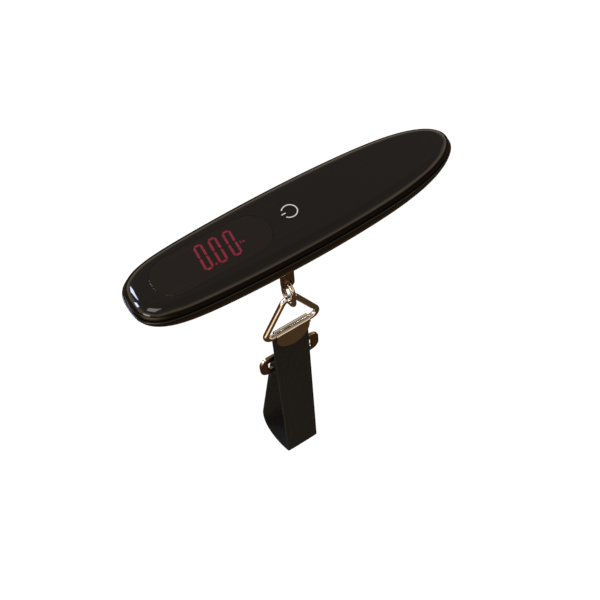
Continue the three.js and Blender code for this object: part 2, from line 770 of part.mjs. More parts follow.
// Across the webbing, from the YZ plane of its middle line to the full width along X.
function acrossX(shape, width) {
  const geometry = new THREE.ExtrudeGeometry(shape, { depth: width, bevelEnabled: false });
  return geometry.rotateX(Math.PI / 2).rotateZ(Math.PI / 2).translate(-width / 2, 0, 0);
}

function webbingStrap() {
  return acrossX(ribbonShape(webbingPath().getPoints(14), webThickness), webWidth);
}

// A flat frame with one wide slot. The webbing is sewn round its lower bar.
function bucklePlate() {
  const height = lowerBar + slotHeight + upperBar;
  const outline = roundedRectangle(plateLength, height, plateCorner, 0, height / 2);
  const slotLength = webWidth + slotSideRoom * 2;
  outline.holes.push(roundedRectangle(slotLength, slotHeight, slotCorner, 0, lowerBar + slotHeight / 2));
  const plate = new THREE.ExtrudeGeometry(outline, { depth: plateThickness, bevelEnabled: false, curveSegments: 6 });
  plate.rotateX(Math.PI / 2).translate(0, plateBack + plateThickness / 2, plateBarZ - lowerBar / 2);
  return plate;
}

// ---------------------------------------------------------------- assembly

const scale = new THREE.Group();
const hanging = new THREE.Group();
hanging.position.x = hangerX;
scale.add(hanging);

function add(name, geometry, material, group = scale) {
  const mesh = new THREE.Mesh(geometry, material);
  mesh.name = name;
  group.add(mesh);
  return mesh;
}

function addCase() {
  add('top_cover', topCover(), glossBlack);
  add('display_lens', displayLens(), smokedBlack);
  add('bottom_shell', bottomShell(), glossBlack);
  add('battery_door', batteryDoor(), glossBlack);
  screws.forEach(({ x, y, seatZ }, i) => {
    add(`case_screw_${i + 1}`, screwGeometry(), nickel).position.set(x, y, seatZ - 0.05);
  });
}

// The board lies under the lens, with a tab beside the hanger's nut that holds the touch spring.
function mainBoard() {
  const middleX = (boardStartX + boardEndX) / 2;
  const shape = roundedRectangle(boardEndX - boardStartX, boardWidth, boardCorner, middleX);
  const board = prism(shape, boardTop - boardThickness, boardTop);
  const halfTab = tabWidth / 2;
  const [tabZ0, tabZ1] = [boardTop - boardThickness, boardTop];
  return join(board, box(boardEndX - tabWidth / 2, tabEndX, tabY - halfTab, tabY + halfTab, tabZ0, tabZ1));
}

// A disc of foil under the key's mark, with a strip that runs back over the touch spring.
function touchElectrode() {
  const [z0, z1] = [electrodeTop - foilThickness, electrodeTop];
  const half = foilStrip / 2;
  const disc = cylinder(keyRadius, z0, z1, keyX, 0, 24);
  const strip = box(touchSpringX - touchSpringRadius, keyX + half, tabY - half, tabY + half, z0, z1);
  const neck = box(keyX - half, keyX + half, tabY - half, 0, z0, z1);
  return join(disc, strip, neck);
}

function addElectronics() {
  add('main_board', mainBoard(), boardGreen);
  const moduleX = lensEndX - moduleInset - moduleLength / 2;
  const moduleShape = roundedRectangle(moduleLength, moduleWidth, moduleCorner, moduleX);
  const moduleTop = coverHeight - roof - fineGap - lensFlangeThickness - gap;
  add('led_module', prism(moduleShape, boardTop + gap, moduleTop), ledWhite);
  const dome = turned([[0, -1.6], [2.2, -1.3], [3.6, -0.6], [4, 0], [0, 0]], 20);
  add('controller_chip', dome, mattBlack).position.set(chipX, 0, boardTop - boardThickness - fineGap);
  add('touch_electrode', touchElectrode(), copper);
  const springHeight = electrodeTop - foilThickness - boardTop - gap;
  const touchSpring = coneSpring(touchSpringRadius, touchSpringRadius - springWire, springHeight, 4);
  add('touch_spring', touchSpring, nickel).position.set(touchSpringX, tabY, boardTop + gap / 2);
}

function addCells() {
  const innerPlateX = bayStartX + gap;
  const outerPlateX = bayEndX - gap - contactThickness;
  const nubGap = fineGap;
  const cellA = add('battery_cell_a', cellGeometry(), cellSleeve);
  cellA.rotation.z = Math.PI;
  cellA.position.set(innerPlateX + contactThickness + nubGap + nubLength + cellLength, cellY, cellZ);
  const cellB = add('battery_cell_b', cellGeometry(), cellSleeve);
  cellB.position.set(outerPlateX - nubGap - nubLength - cellLength, -cellY, cellZ);
  const half = cellDiameter * contactShare;
  add('positive_contact', contactPlate(innerPlateX, cellY - half, cellY + half), nickel);
  add('negative_contact', contactPlate(innerPlateX, -cellY - half, -cellY + half), nickel);
  add('bridge_contact', contactPlate(outerPlateX, -cellY - half, cellY + half), nickel);
  const room = bayLength - gap * 2 - contactThickness * 2 - nubGap - nubLength - cellLength;
  const spring = () => coneSpring(cellSpring.foot, cellSpring.head, room - gap, 3).rotateY(Math.PI / 2);
  const inner = add('negative_spring', spring(), nickel);
  inner.position.set(innerPlateX + contactThickness + gap / 2, -cellY, cellZ);
  const outer = add('bridge_spring', spring(), nickel);
  outer.rotation.z = Math.PI;
  outer.position.set(outerPlateX - gap / 2, cellY, cellZ);
}

function addLoadCell() {
  add('load_cell', loadCell(), aluminium);
  gaugePlaces.forEach((x, i) => {
    const foilZ = beamTop + fineGap / 2;
    const [halfLength, halfWidth] = [gaugeLength / 2, gaugeWidth / 2];
    const foil = box(x - halfLength, x + halfLength, -halfWidth, halfWidth, foilZ, foilZ + foilThickness);
    add(['hanger_end_gauge', 'fixed_end_gauge'][i], foil, gaugeAmber);
  });
  beamScrewPlaces.forEach((x, i) => {
    const screw = screwGeometry().scale(1, 1, beamScrewLength / screwLength).rotateX(Math.PI);
    add(`load_cell_screw_${i + 1}`, screw, nickel).position.set(x, 0, beamTop + fineGap);
  });
}

function addHanging() {
  add('hanger_bush', hangerBush(), mattBlack, hanging);
  add('hanger_eye', hangerEye(), bronze, hanging);
  add('hanger_washer', washer(), nickel, hanging);
  add('hanger_nut', hangerNut(), nickel, hanging);
  add('chain_link', chainLink(), chrome, hanging);
  add('triangle_ring', triangleRing(), chrome, hanging);
  add('strap_clamp', strapClamp(), chrome, hanging);
  add('webbing_strap', webbingStrap(), webbing, hanging);
  add('buckle_plate', bucklePlate(), bronze, hanging);
}

// Two leads from the cells' contacts to the board, along the shell's sides.
function addLeads() {
  const startX = bayStartX - ribThickness - leadDiameter;
  const leads = [['battery_lead_positive', 1, leadRed], ['battery_lead_negative', -1, mattBlack]];
  for (const [name, side, material] of leads) {
    const points = [
      [startX, side * 6.66, -1],
      [startX - 2, side * leadY, -4],
      [hangerX + 2, side * leadY, -7],
      [hangerX - 6, side * leadY, -7],
      [boardEndX + 1.2, side * leadY, -4.6],
    ].map((point) => new THREE.Vector3(...point));
    add(name, wireAlong(new THREE.CatmullRomCurve3(points), leadDiameter, 20, 3), material);
  }
}

addCase();
addElectronics();
addCells();
addLoadCell();
addLeads();
addHanging();

export default scale;
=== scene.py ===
# %% [markdown]
# # A digital luggage scale
#
# The real object is a slim glossy handle with a steel hanger below it, and under the hanger a link,
# a triangular ring, a clamp, a loop of webbing and a flat plate. The CAD model is a fixed frame:
# each visible piece is modelled again here with smooth curves, at the place and size that the frame
# gives, and rides on the body that it belongs to.

# %% The frame
import itertools
import json
import math

import bmesh
import bpy
from mathutils import Matrix, Vector


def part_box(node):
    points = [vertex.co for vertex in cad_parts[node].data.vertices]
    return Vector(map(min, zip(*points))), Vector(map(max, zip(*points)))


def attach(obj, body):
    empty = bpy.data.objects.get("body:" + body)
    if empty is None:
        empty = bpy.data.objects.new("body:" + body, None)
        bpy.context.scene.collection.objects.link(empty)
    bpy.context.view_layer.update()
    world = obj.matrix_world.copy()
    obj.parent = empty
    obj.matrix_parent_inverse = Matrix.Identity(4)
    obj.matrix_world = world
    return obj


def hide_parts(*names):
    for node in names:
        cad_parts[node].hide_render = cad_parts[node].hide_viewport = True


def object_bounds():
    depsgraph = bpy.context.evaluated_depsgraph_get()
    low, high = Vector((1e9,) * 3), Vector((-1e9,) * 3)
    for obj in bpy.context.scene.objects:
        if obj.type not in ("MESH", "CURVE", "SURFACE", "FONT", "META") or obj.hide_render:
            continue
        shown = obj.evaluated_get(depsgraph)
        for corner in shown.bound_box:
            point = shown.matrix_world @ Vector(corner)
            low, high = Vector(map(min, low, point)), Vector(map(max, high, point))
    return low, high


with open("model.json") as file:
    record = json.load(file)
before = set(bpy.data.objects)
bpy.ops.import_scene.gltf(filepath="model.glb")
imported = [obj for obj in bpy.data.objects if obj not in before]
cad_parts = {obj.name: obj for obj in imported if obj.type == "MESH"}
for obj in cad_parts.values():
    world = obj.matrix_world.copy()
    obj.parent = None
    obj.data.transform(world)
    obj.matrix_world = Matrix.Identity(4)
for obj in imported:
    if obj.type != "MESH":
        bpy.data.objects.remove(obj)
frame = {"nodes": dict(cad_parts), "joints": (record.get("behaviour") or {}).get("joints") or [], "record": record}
cad_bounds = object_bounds()
MM = 0.001

# %% [markdown]
# ## The camera comes first
#
# A camera is easiest to think of as a direction: how far round the object it stands, how high, and
# how much it is rolled. Those three angles, the point it looks at and the distance are enough.

# %% Camera
CAMERA_AZIMUTH = math.radians(-29.38)
CAMERA_ELEVATION = math.radians(56.48)
CAMERA_ROLL = math.radians(-4.33)
CAMERA_DISTANCE = 347.2 * MM
CAMERA_AIM = Vector((-15.1, -24.25, -16.4)) * MM
CAMERA_LENS = 52.36


def add_camera():
    level = math.cos(CAMERA_ELEVATION)
    back = Vector((
        math.sin(CAMERA_AZIMUTH) * level,
        -math.cos(CAMERA_AZIMUTH) * level,
        math.sin(CAMERA_ELEVATION),
    ))
    right = Vector((math.cos(CAMERA_AZIMUTH), math.sin(CAMERA_AZIMUTH), 0))
    axes = Matrix((right, back.cross(right), back)).transposed().to_4x4()
    data = bpy.data.cameras.new("camera")
    data.lens = CAMERA_LENS
    data.clip_start = 0.01
    camera = bpy.data.objects.new("camera", data)
    place = Matrix.Translation(CAMERA_AIM + back * CAMERA_DISTANCE)
    camera.matrix_world = place @ axes @ Matrix.Rotation(CAMERA_ROLL, 4, "Z")
    bpy.context.collection.objects.link(camera)
    bpy.context.scene.camera = camera
    return camera


print("camera at", [round(v, 3) for v in add_camera().matrix_world.translation])

# %% [markdown]
# ## Sizes from the frame
#
# A node's box gives the lowest and highest corner of the CAD piece, so a size or place that a box
# gives is read and not typed. Sizes that no box can give, such as a wall, are named.

# %% Sizes
def node_box(node):
    low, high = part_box(node)
    return Vector(low), Vector(high)


shell_low, shell_high = node_box("bottom_shell")
lens_low, lens_high = node_box("display_lens")
door_low, door_high = node_box("battery_door")
BODY_LENGTH = shell_high.x - shell_low.x
BODY_WIDTH = shell_high.y - shell_low.y
BOWL_DEPTH = -shell_low.z
FACE_Z = node_box("top_cover")[1].z
LENS_FLANGE = 1.2 * MM
WALL = 1.8 * MM
ROOF = 1.6 * MM
GAP = 0.3 * MM
print("handle", [round(v / MM, 1) for v in (BODY_LENGTH, BODY_WIDTH, BOWL_DEPTH, FACE_Z)], "mm")

# %% [markdown]
# ## Helpers for modelling by operator
#
# Operators act on what is selected, so each helper first deselects everything, then makes its own
# piece the active one. A piece starts as a primitive, is shaped in edit mode, and ends with its
# place in its mesh.

# %% Selecting, starting and applying
def only(piece):
    if bpy.context.object and bpy.context.object.mode != "OBJECT":
        bpy.ops.object.mode_set(mode="OBJECT")
    bpy.ops.object.select_all(action="DESELECT")
    if piece:
        piece.select_set(True)
        bpy.context.view_layer.objects.active = piece


def start(name, primitive, scale=(1, 1, 1), **settings):
    only(None)
    primitive(**settings)
    piece = bpy.context.object
    piece.name = piece.data.name = name
    piece.scale = scale
    bpy.ops.object.transform_apply(location=True, rotation=True, scale=True)
    return piece


def start_box(name, size, **settings):
    return start(name, bpy.ops.mesh.primitive_cube_add, scale=size, size=1, **settings)


def start_bar(name, radius, length, **settings):
    """A round bar along Z, or along the axis that a rotation gives it."""
    return start(name, bpy.ops.mesh.primitive_cylinder_add, radius=radius, depth=length, **settings)


def edit(piece, action="DESELECT"):
    only(piece)
    bpy.ops.object.mode_set(mode="EDIT")
    bpy.ops.mesh.select_all(action=action)
    return bmesh.from_edit_mesh(piece.data)


def pick(piece, test, part="verts"):
    """Selects the vertices, edges or faces whose place passes the test, in edit mode."""
    bpy.ops.mesh.select_mode(type=part[:-1].upper())
    bpy.ops.mesh.select_all(action="DESELECT")
    mesh = bmesh.from_edit_mesh(piece.data)
    for element in getattr(mesh, part):
        place = element.co if part == "verts" else [vertex.co for vertex in element.verts]
        element.select_set(test(place))
    mesh.select_flush_mode()
    bmesh.update_edit_mesh(piece.data)


def move_picked(piece, place):
    """Puts every selected vertex where place(vertex) says, in edit mode."""
    mesh = bmesh.from_edit_mesh(piece.data)
    for vertex in mesh.verts:
        if vertex.select:
            vertex.co = place(vertex)
    bmesh.update_edit_mesh(piece.data)


def use_modifier(piece, kind, **settings):
    only(piece)
    modifier = piece.modifiers.new(kind.lower(), kind)
    for key, value in settings.items():
        setattr(modifier, key, value)
    bpy.ops.object.modifier_apply(modifier=modifier.name)


def combine(piece, tool, operation):
    use_modifier(piece, "BOOLEAN", object=tool, operation=operation, solver="EXACT")
    bpy.data.objects.remove(tool)


def copy_of(piece, name, shift=(0, 0, 0)):
    twin = piece.copy()
    twin.data = piece.data.copy()
    twin.name = twin.data.name = name
    twin.data.transform(Matrix.Translation(shift))
    bpy.context.collection.objects.link(twin)
    return twin


def soften_edges(piece, width, segments, angle=30):
    """Bevels the edges that turn by more than an angle."""
    use_modifier(
        piece, "BEVEL", width=width, segments=segments, limit_method="ANGLE",
        angle_limit=math.radians(angle),
    )


MERGE_DISTANCE = 0.004 * MM


def merge_and_close(piece):
    """Merges doubled points, closes open ends and turns the faces outwards."""
    edit(piece, "SELECT")
    bpy.ops.mesh.remove_doubles(threshold=MERGE_DISTANCE)
    bpy.ops.mesh.fill_holes(sides=0)
    bpy.ops.mesh.select_all(action="SELECT")
    bpy.ops.mesh.normals_make_consistent(inside=False)
    only(piece)


def dress(piece, finish):
    piece.data.materials.clear()
    piece.data.materials.append(FINISHES[finish])


def complete(piece, body, nodes, slot, finish=None, smooth=32):
    """Shades a piece, gives it a finish, by default its slot's, and ties it to its body and nodes."""
    only(piece)
    bpy.ops.object.shade_smooth_by_angle(angle=math.radians(smooth))
    use_modifier(piece, "WEIGHTED_NORMAL", keep_sharp=True)
    dress(piece, finish or slot)
    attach(piece, body)
    if nodes:
        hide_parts(*nodes)
    print(piece.name, len(piece.data.polygons), "faces")


# %% [markdown]
# ## Finishes
#
# A finish is more than a colour. Handled plastic has faint smudges and hair scratches, plated metal
# has a slight ripple, and cloth has its yarns. Effects that several finishes share are node groups
# that put out masks and heights. The shader itself stays in each material.

# %% Node helpers
def group_with(name, inputs, outputs):
    """An empty shader node group with named float inputs and outputs, and its two end nodes."""
    group = bpy.data.node_groups.new(name, "ShaderNodeTree")
    for label, value in inputs.items():
        socket = group.interface.new_socket(label, in_out="INPUT", socket_type="NodeSocketFloat")
        socket.default_value = value
    for label in outputs:
        group.interface.new_socket(label, in_out="OUTPUT", socket_type="NodeSocketFloat")
    return group, group.nodes.new("NodeGroupInput"), group.nodes.new("NodeGroupOutput")


def node(tree, kind, links=(), **values):
    """Adds a node, sets its properties or sockets by name, and links sockets into it."""
    made = tree.nodes.new(kind)
    for key, value in values.items():
        if hasattr(made, key):
            setattr(made, key, value)
        else:
            made.inputs[key.replace("_", " ")].default_value = value
    for socket, source in dict(links).items():
        tree.links.new(source, made.inputs[socket])
    return made


def scaled(tree, source, factor, offset=0.0):
    made = node(tree, "ShaderNodeMath", {0: source}, operation="MULTIPLY_ADD")
    made.inputs[1].default_value = factor
    made.inputs[2].default_value = offset
    return made.outputs[0]


def maths(tree, operation, *sources):
    return node(tree, "ShaderNodeMath", dict(enumerate(sources)), operation=operation).outputs[0]


def noise(tree, place, detail=2.0, links=(), **values):
    links = {"Vector": place, **dict(links)}
    return node(tree, "ShaderNodeTexNoise", links, Detail=detail, **values).outputs[0]


def object_place(tree):
    return node(tree, "ShaderNodeTexCoord").outputs["Object"]


def feed(tree, target, **sources):
    """Links a source into each input of a node, by the input's name."""
    for name, source in sources.items():
        tree.links.new(source, target.inputs[name.replace("_", " ")])


def stepped(tree, source, low, high):
    made = node(tree, "ShaderNodeMapRange", {0: source}, interpolation_type="SMOOTHSTEP")
    made.inputs[1].default_value = low
    made.inputs[2].default_value = high
    return made.outputs[0]


# %% Shared effects
SMUDGE_SPAN = (0.42, 0.72)
SCRATCH_SPAN = (0.66, 0.78)
SCRATCH_STRETCH = (40.0, 900.0, 900.0)
SCRATCH_TURN = 0.35
GRAIN_SCALE = 4200.0
PIT_SCALE = 2600.0
PIT_SPAN = (0.02, 0.16)


def make_handling():
    """Smudges and hair scratches of something that is carried about."""
    group, given, result = group_with("handling", {"Scale": 60.0}, ["Smudge", "Scratch", "Grain"])
    place = object_place(group)
    broad = noise(group, place, 4.0, {"Scale": given.outputs["Scale"]})
    turned = node(
        group, "ShaderNodeMapping", {"Vector": place}, Scale=SCRATCH_STRETCH, Rotation=(0, 0, SCRATCH_TURN),
    )
    hairs = noise(group, turned.outputs[0], Scale=1.0)
    fine = noise(group, place, Scale=GRAIN_SCALE)
    smudge, scratch = stepped(group, broad, *SMUDGE_SPAN), stepped(group, hairs, *SCRATCH_SPAN)
    feed(group, result, Smudge=smudge, Scratch=scratch, Grain=fine)
    return group


def make_plating():
    """The slow ripple and the tiny pits of polished, plated metal."""
    group, given, result = group_with("plating", {"Scale": 300.0}, ["Ripple", "Pits"])
    place = object_place(group)
    slow = noise(group, place, 3.0, {"Scale": given.outputs["Scale"]})
    dots = node(group, "ShaderNodeTexVoronoi", {"Vector": place}, Scale=PIT_SCALE)
    feed(group, result, Ripple=slow, Pits=stepped(group, dots.outputs["Distance"], *PIT_SPAN))
    return group


HANDLING = make_handling()
PLATING = make_plating()
print("shared effects:", HANDLING.name, PLATING.name)

# %% [markdown]
# A material is built by one short function per family: plastic, metal, cloth and lit segments. Each
# takes its own colours, so that every piece gets its finish without repeating the nodes.

# %% Material families
def blank_material(name):
    material = bpy.data.materials.new(name)
    material.use_nodes = True
    tree = material.node_tree
    return material, tree, tree.nodes["Principled BSDF"]


def use_group(tree, group, **values):
    made = tree.nodes.new("ShaderNodeGroup")
    made.node_tree = group
    for key, value in values.items():
        made.inputs[key].default_value = value
    return made


def mixed_colour(tree, mask, first, second):
    made = tree.nodes.new("ShaderNodeMix")
    made.data_type = "RGBA"
    made.inputs[6].default_value = (*first, 1)
    made.inputs[7].default_value = (*second, 1)
    tree.links.new(mask, made.inputs[0])
    return made.outputs[2]


def bump(tree, shader, height, strength, distance):
    made = node(tree, "ShaderNodeBump", {"Height": height}, Strength=strength, Distance=distance)
    tree.links.new(made.outputs[0], shader.inputs["Normal"])


GRAIN_DEPTH = 0.02 * MM
RIPPLE_DEPTH = 0.25 * MM
WEAVE_DEPTH = 0.12 * MM
# Span of weave height over which the cloth goes from painted shade in the hollows to a painted highlight on the
# raised yarns
WEAVE_HIGHLIGHT_SPAN = (-0.4, 1.8)
SPECKLE_SPAN = (0.3, 0.7)


def plastic(name, colour, worn, roughness, spread, grain=0.0, scale=60.0):
    """Moulded plastic: smudges change its roughness, and scratches its colour."""
    material, tree, shader = blank_material(name)
    marks = use_group(tree, HANDLING, Scale=scale).outputs
    tint = mixed_colour(tree, marks["Scratch"], colour, worn)
    feed(tree, shader, Base_Color=tint, Roughness=scaled(tree, marks["Smudge"], spread, roughness))
    bump(tree, shader, marks["Grain"], grain, GRAIN_DEPTH)
    return material


def metal(name, colour, shade, roughness, spread, ripple=0.12, scale=300.0):
    """Polished or plated metal: a slow ripple bends its reflections, and pits dull it."""
    material, tree, shader = blank_material(name)
    shader.inputs["Metallic"].default_value = 1.0
    plating = use_group(tree, PLATING, Scale=scale).outputs
    tint = mixed_colour(tree, plating["Ripple"], shade, colour)
    rough = scaled(tree, plating["Pits"], -spread, roughness + spread)
    feed(tree, shader, Base_Color=tint, Roughness=rough)
    bump(tree, shader, plating["Ripple"], ripple, RIPPLE_DEPTH)
    return material


def cloth(name, colour, highlit_yarn, rib_pitch, yarn_pitch):
    """Ribbed webbing, woven along its own UV map, whose units are metres of cloth, with a painted highlight on its
    raised yarns and painted shade in its hollows.
    """
    material, tree, shader = blank_material(name)
    shader.inputs["Sheen Weight"].default_value = 0.06
    shader.inputs["Specular IOR Level"].default_value = 0.15
    flat = node(tree, "ShaderNodeUVMap", uv_map="cloth").outputs[0]
    across, along = node(tree, "ShaderNodeSeparateXYZ", {0: flat}).outputs[:2]
    warp = maths(tree, "SINE", scaled(tree, across, math.tau / yarn_pitch))
    weft = maths(tree, "SINE", scaled(tree, along, math.tau / rib_pitch))
    fuzz = noise(tree, flat, 3.0, Scale=2400.0)
    height = maths(tree, "ADD", maths(tree, "MULTIPLY", warp, weft), fuzz)
    # Painted highlight and shade: the weave's height makes the yarn tops lighter and the hollows darker, plus some
    # random yarn tone from the fuzz
    tint = mixed_colour(tree, stepped(tree, height, *WEAVE_HIGHLIGHT_SPAN), colour, highlit_yarn)
    feed(tree, shader, Base_Color=tint, Roughness=scaled(tree, fuzz, 0.2, 0.68))
    bump(tree, shader, height, 0.5, WEAVE_DEPTH)
    return material


def glow(name, colour, strength, dark):
    """A lit segment behind smoked plastic, finely speckled."""
    material, tree, shader = blank_material(name)
    speckle = noise(tree, object_place(tree), Scale=1400.0)
    feed(tree, shader, Emission_Color=mixed_colour(tree, stepped(tree, speckle, *SPECKLE_SPAN), dark, colour))
    shader.inputs["Emission Strength"].default_value = strength
    shader.inputs["Base Color"].default_value = (*dark, 1)
    shader.inputs["Roughness"].default_value = 0.3
    return material


# %% The finishes of this scale
RIB_PITCH = 1.1 * MM
YARN_PITCH = 0.9 * MM
PLASTICS = {
    "gloss_black": ((0.0042, 0.0034, 0.0028), (0.010, 0.009, 0.008), 0.045, 0.05),
    "smoked_lens": ((0.0075, 0.0050, 0.0036), (0.013, 0.010, 0.008), 0.03, 0.04),
    "matt_black": ((0.014, 0.013, 0.012), (0.03, 0.03, 0.03), 0.5, 0.1, 0.4),
    "mark_white": ((0.72, 0.72, 0.70), (0.55, 0.55, 0.53), 0.35, 0.1),
    "circuit_board": ((0.02, 0.12, 0.05), (0.05, 0.2, 0.1), 0.35, 0.1, 0.2, 300.0),
    "led_white": ((0.7, 0.69, 0.65), (0.55, 0.54, 0.5), 0.45, 0.1, 0.2),
    "cell_sleeve": ((0.03, 0.055, 0.12), (0.3, 0.3, 0.32), 0.28, 0.12),
    "gauge_foil": ((0.5, 0.22, 0.04), (0.6, 0.35, 0.1), 0.35, 0.1, 0.2, 400.0),
    "lead_red": ((0.4, 0.015, 0.012), (0.5, 0.08, 0.06), 0.4, 0.1, 0.2),
    "lead_black": ((0.015, 0.015, 0.015), (0.04, 0.04, 0.04), 0.4, 0.1, 0.2),
}
METALS = {
    "copper_foil": ((0.75, 0.38, 0.2), (0.5, 0.22, 0.12), 0.25, 0.1),
    "nickel": ((0.68, 0.64, 0.57), (0.5, 0.46, 0.4), 0.2, 0.12),
    "aluminium": ((0.66, 0.67, 0.68), (0.5, 0.5, 0.52), 0.34, 0.12, 0.12, 900.0),
    "chrome": ((0.80, 0.74, 0.66), (0.60, 0.53, 0.45), 0.10, 0.1),
    "bronzed_steel": ((0.46, 0.34, 0.22), (0.26, 0.17, 0.09), 0.2, 0.12, 0.3, 700.0),
}
FINISHES = {name: plastic(name, *values) for name, values in PLASTICS.items()}
FINISHES.update({name: metal(name, *values) for name, values in METALS.items()})
# The webbing's second colour is the painted highlight on its raised yarns
FINISHES["webbing"] = cloth("webbing", (0.0035, 0.003, 0.0026), (0.009, 0.008, 0.007), RIB_PITCH, YARN_PITCH)
FINISHES["digit_glow"] = glow("digit_glow", (0.36, 0.012, 0.045), 0.5, (0.09, 0.006, 0.014))
print(len(FINISHES), "finishes")

# %% [markdown]
# ## The handle's outline
#
# Seen from above, each side of the handle narrows along a parabola from the widest place, and a
# round end closes it: the display end is blunt and the tail is slimmer. Every ring of the handle is
# that outline, set in, shrunk or raised. A circle is moved onto the first ring, then its open edge
# is extruded again and again, and each new ring is put in its place by the formula. An exact
# outline keeps the gloss free of dents.

# %% Outline
WIDEST_X = -3 * MM
DISPLAY_END = {"reach": BODY_LENGTH / 2 + WIDEST_X, "end_power": 10, "width_power": 2.8, "taper": 0.21}
TAIL_END = {"reach": BODY_LENGTH / 2 - WIDEST_X, "end_power": 6.5, "width_power": 2, "taper": 0.3}
OUTLINE_POINTS = 220


def outline(turn, inset=0.0, share=1.0):
    """The outline's point at a share of a whole turn, from the tail round by the far side."""
    cosine, sine = math.cos(turn * math.tau), math.sin(turn * math.tau)
    end = DISPLAY_END if cosine < 0 else TAIL_END
    fullness = max(1 - abs(cosine) ** end["end_power"], 0) ** (1 / end["width_power"])
    half_width = (BODY_WIDTH / 2 - inset) * fullness * (1 - end["taper"] * cosine ** 2)
    x = (end["reach"] - inset) * cosine
    return Vector((WIDEST_X + x * share, math.copysign(half_width, sine) * share, 0))


def lengths_along(points):
    steps = ((after - before).length for before, after in zip(points, points[1:]))
    return list(itertools.accumulate(steps, initial=0.0))


def even_turns(count, fine=60000):
    """Turns that space the outline's points evenly along it."""
    length = lengths_along([outline(k / fine) for k in range(fine + 1)])
    turns, k = [], 0
    for point in range(count):
        while length[k] < length[-1] * point / count:
            k += 1
        turns.append(k / fine)
    return turns


TURNS = even_turns(OUTLINE_POINTS)


def handle_body(name, rings):
    """A closed body through rings given as (height, inset, share)."""
    piece = start(name, bpy.ops.mesh.primitive_circle_add, vertices=OUTLINE_POINTS, radius=BODY_WIDTH)
    mesh = edit(piece)
    number = mesh.verts.layers.int.new("number")
    for vertex, value in zip(mesh.verts, range(OUTLINE_POINTS)):
        vertex[number] = value
    bmesh.update_edit_mesh(piece.data)
    bpy.ops.mesh.select_all(action="SELECT")
    for count, (z, inset, share) in enumerate(rings):
        if count:
            bpy.ops.mesh.extrude_edges_move()
        number = bmesh.from_edit_mesh(piece.data).verts.layers.int["number"]
        move_picked(piece, lambda vertex: outline(TURNS[vertex[number]], inset, share) + Vector((0, 0, z)))
    merge_and_close(piece)
    piece.data.attributes.remove(piece.data.attributes["number"])
    return piece


print("outline of", OUTLINE_POINTS, "points")

# %% [markdown]
# ## Prisms for windows, doors and plates
#
# A pill is a circle whose two halves are pulled apart, and a plate is a box whose upright edges are
# bevelled. Both are made standing on Z and turned where needed.

# %% Pill and plate
def pill(name, low, high, points=64):
    """A prism with two round ends along X, filling the box from low to high."""
    radius = (high.y - low.y) / 2
    middle = (low + high) / 2
    pull = (high.x - low.x) / 2 - radius
    piece = start_bar(
        name, radius, high.z - low.z, vertices=points, location=middle, rotation=(0, 0, math.pi / points),
    )
    for side in (-1, 1):
        edit(piece)
        pick(piece, lambda co: (co.x - middle.x) * side > 0)
        bpy.ops.transform.translate(value=(side * pull, 0, 0))
    only(piece)
    return piece


def plate(name, low, high, corner, segments=10):
    """A box with round upright edges, filling the space from low to high."""
    size = high - low
    piece = start_box(name, size, location=(low + high) / 2)
    edit(piece)
    pick(piece, lambda ends: abs(ends[0].z - ends[1].z) > size.z / 2, "edges")
    bpy.ops.mesh.bevel(offset=corner, segments=segments, affect="EDGES")
    only(piece)
    return piece


# %% [markdown]
# ## Top cover
#
# The cover is a shallow tray with a softly rounded edge. Its rings start under its roof, go down
# inside the wall, round the edge, and up the rounded bevel to the face. A last ring just inside the
# edge keeps the flat face flat when it is shaded smooth. The lens's window is cut out at the end.

# %% Cover
COVER_INSET = 0.9 * MM
BEVEL_WIDTH = 5.0 * MM
BEVEL_STEPS = 20
SEAM_Z = GAP
SKIRT_Z = -0.1 * MM
SKIRT_INSET = 0.12 * MM
FACE_SUPPORT = 0.4 * MM
WINDOW_GAP = 0.08 * MM


def cover_rings():
    wall_inset = COVER_INSET + WALL
    rings = [(FACE_Z - ROOF, wall_inset + BEVEL_WIDTH / 2, 1), (SKIRT_Z, wall_inset, 1)]
    rings.append((SKIRT_Z, COVER_INSET + SKIRT_INSET, 1))
    for step in range(BEVEL_STEPS + 1):
        turn = step / BEVEL_STEPS * math.pi / 2
        rise = (FACE_Z - SEAM_Z) * math.sin(turn)
        rings.append((SEAM_Z + rise, COVER_INSET + BEVEL_WIDTH * (1 - math.cos(turn)), 1))
    rings.append((FACE_Z, COVER_INSET + BEVEL_WIDTH + FACE_SUPPORT, 1))
    return rings


def lens_box(extra, low_z, high_z):
    grow = LENS_FLANGE - extra
    low = Vector((lens_low.x + grow, lens_low.y + grow, low_z))
    return low, Vector((lens_high.x - grow, lens_high.y - grow, high_z))


cover = handle_body("cover", cover_rings())
combine(cover, pill("lens_window", *lens_box(WINDOW_GAP, FACE_Z - ROOF * 2, FACE_Z + ROOF)), "DIFFERENCE")
complete(cover, "handle", ["top_cover"], "gloss_black", smooth=40)

# %% [markdown]
# ## Lens
#
# The lens is a smoked pane, flush with the cover. Only a hair of a gap shows round it, and a tiny
# bevel on its edge catches the light. The flange that holds it from inside never shows, so it is
# left out here.

# %% Lens
LENS_BELOW_ROOF = 0.5 * MM
lens = pill("lens", *lens_box(0.0, FACE_Z - ROOF - LENS_BELOW_ROOF, FACE_Z))
soften_edges(lens, 0.12 * MM, 3)
complete(lens, "handle", ["display_lens"], "smoked_lens")

# %% [markdown]
# ## Bottom shell
#
# The shell is a bowl. Its section is a superellipse, from an upright rim down to a narrow flat.
# The rings run up the inside, over a small groove that the cover's edge stands in, round the rim
# and down the outside. The rim's own rounding is what draws the bright line round the handle.

# %% Shell
BOWL_POWER = 2.2
LAND_SHARE = 0.34
SUPPORT_SHARE = LAND_SHARE * 0.94
INSIDE_STEPS = 14
OUTSIDE_STEPS = 26
GROOVE_Z = -0.4 * MM
RIM = [
    (-0.5, 0.0), (-0.3, 0.03), (-0.15, 0.10), (-0.05, 0.22),
    (0.0, 0.38), (0.0, 0.62), (-0.05, 0.74), (-0.4, 0.8),
]


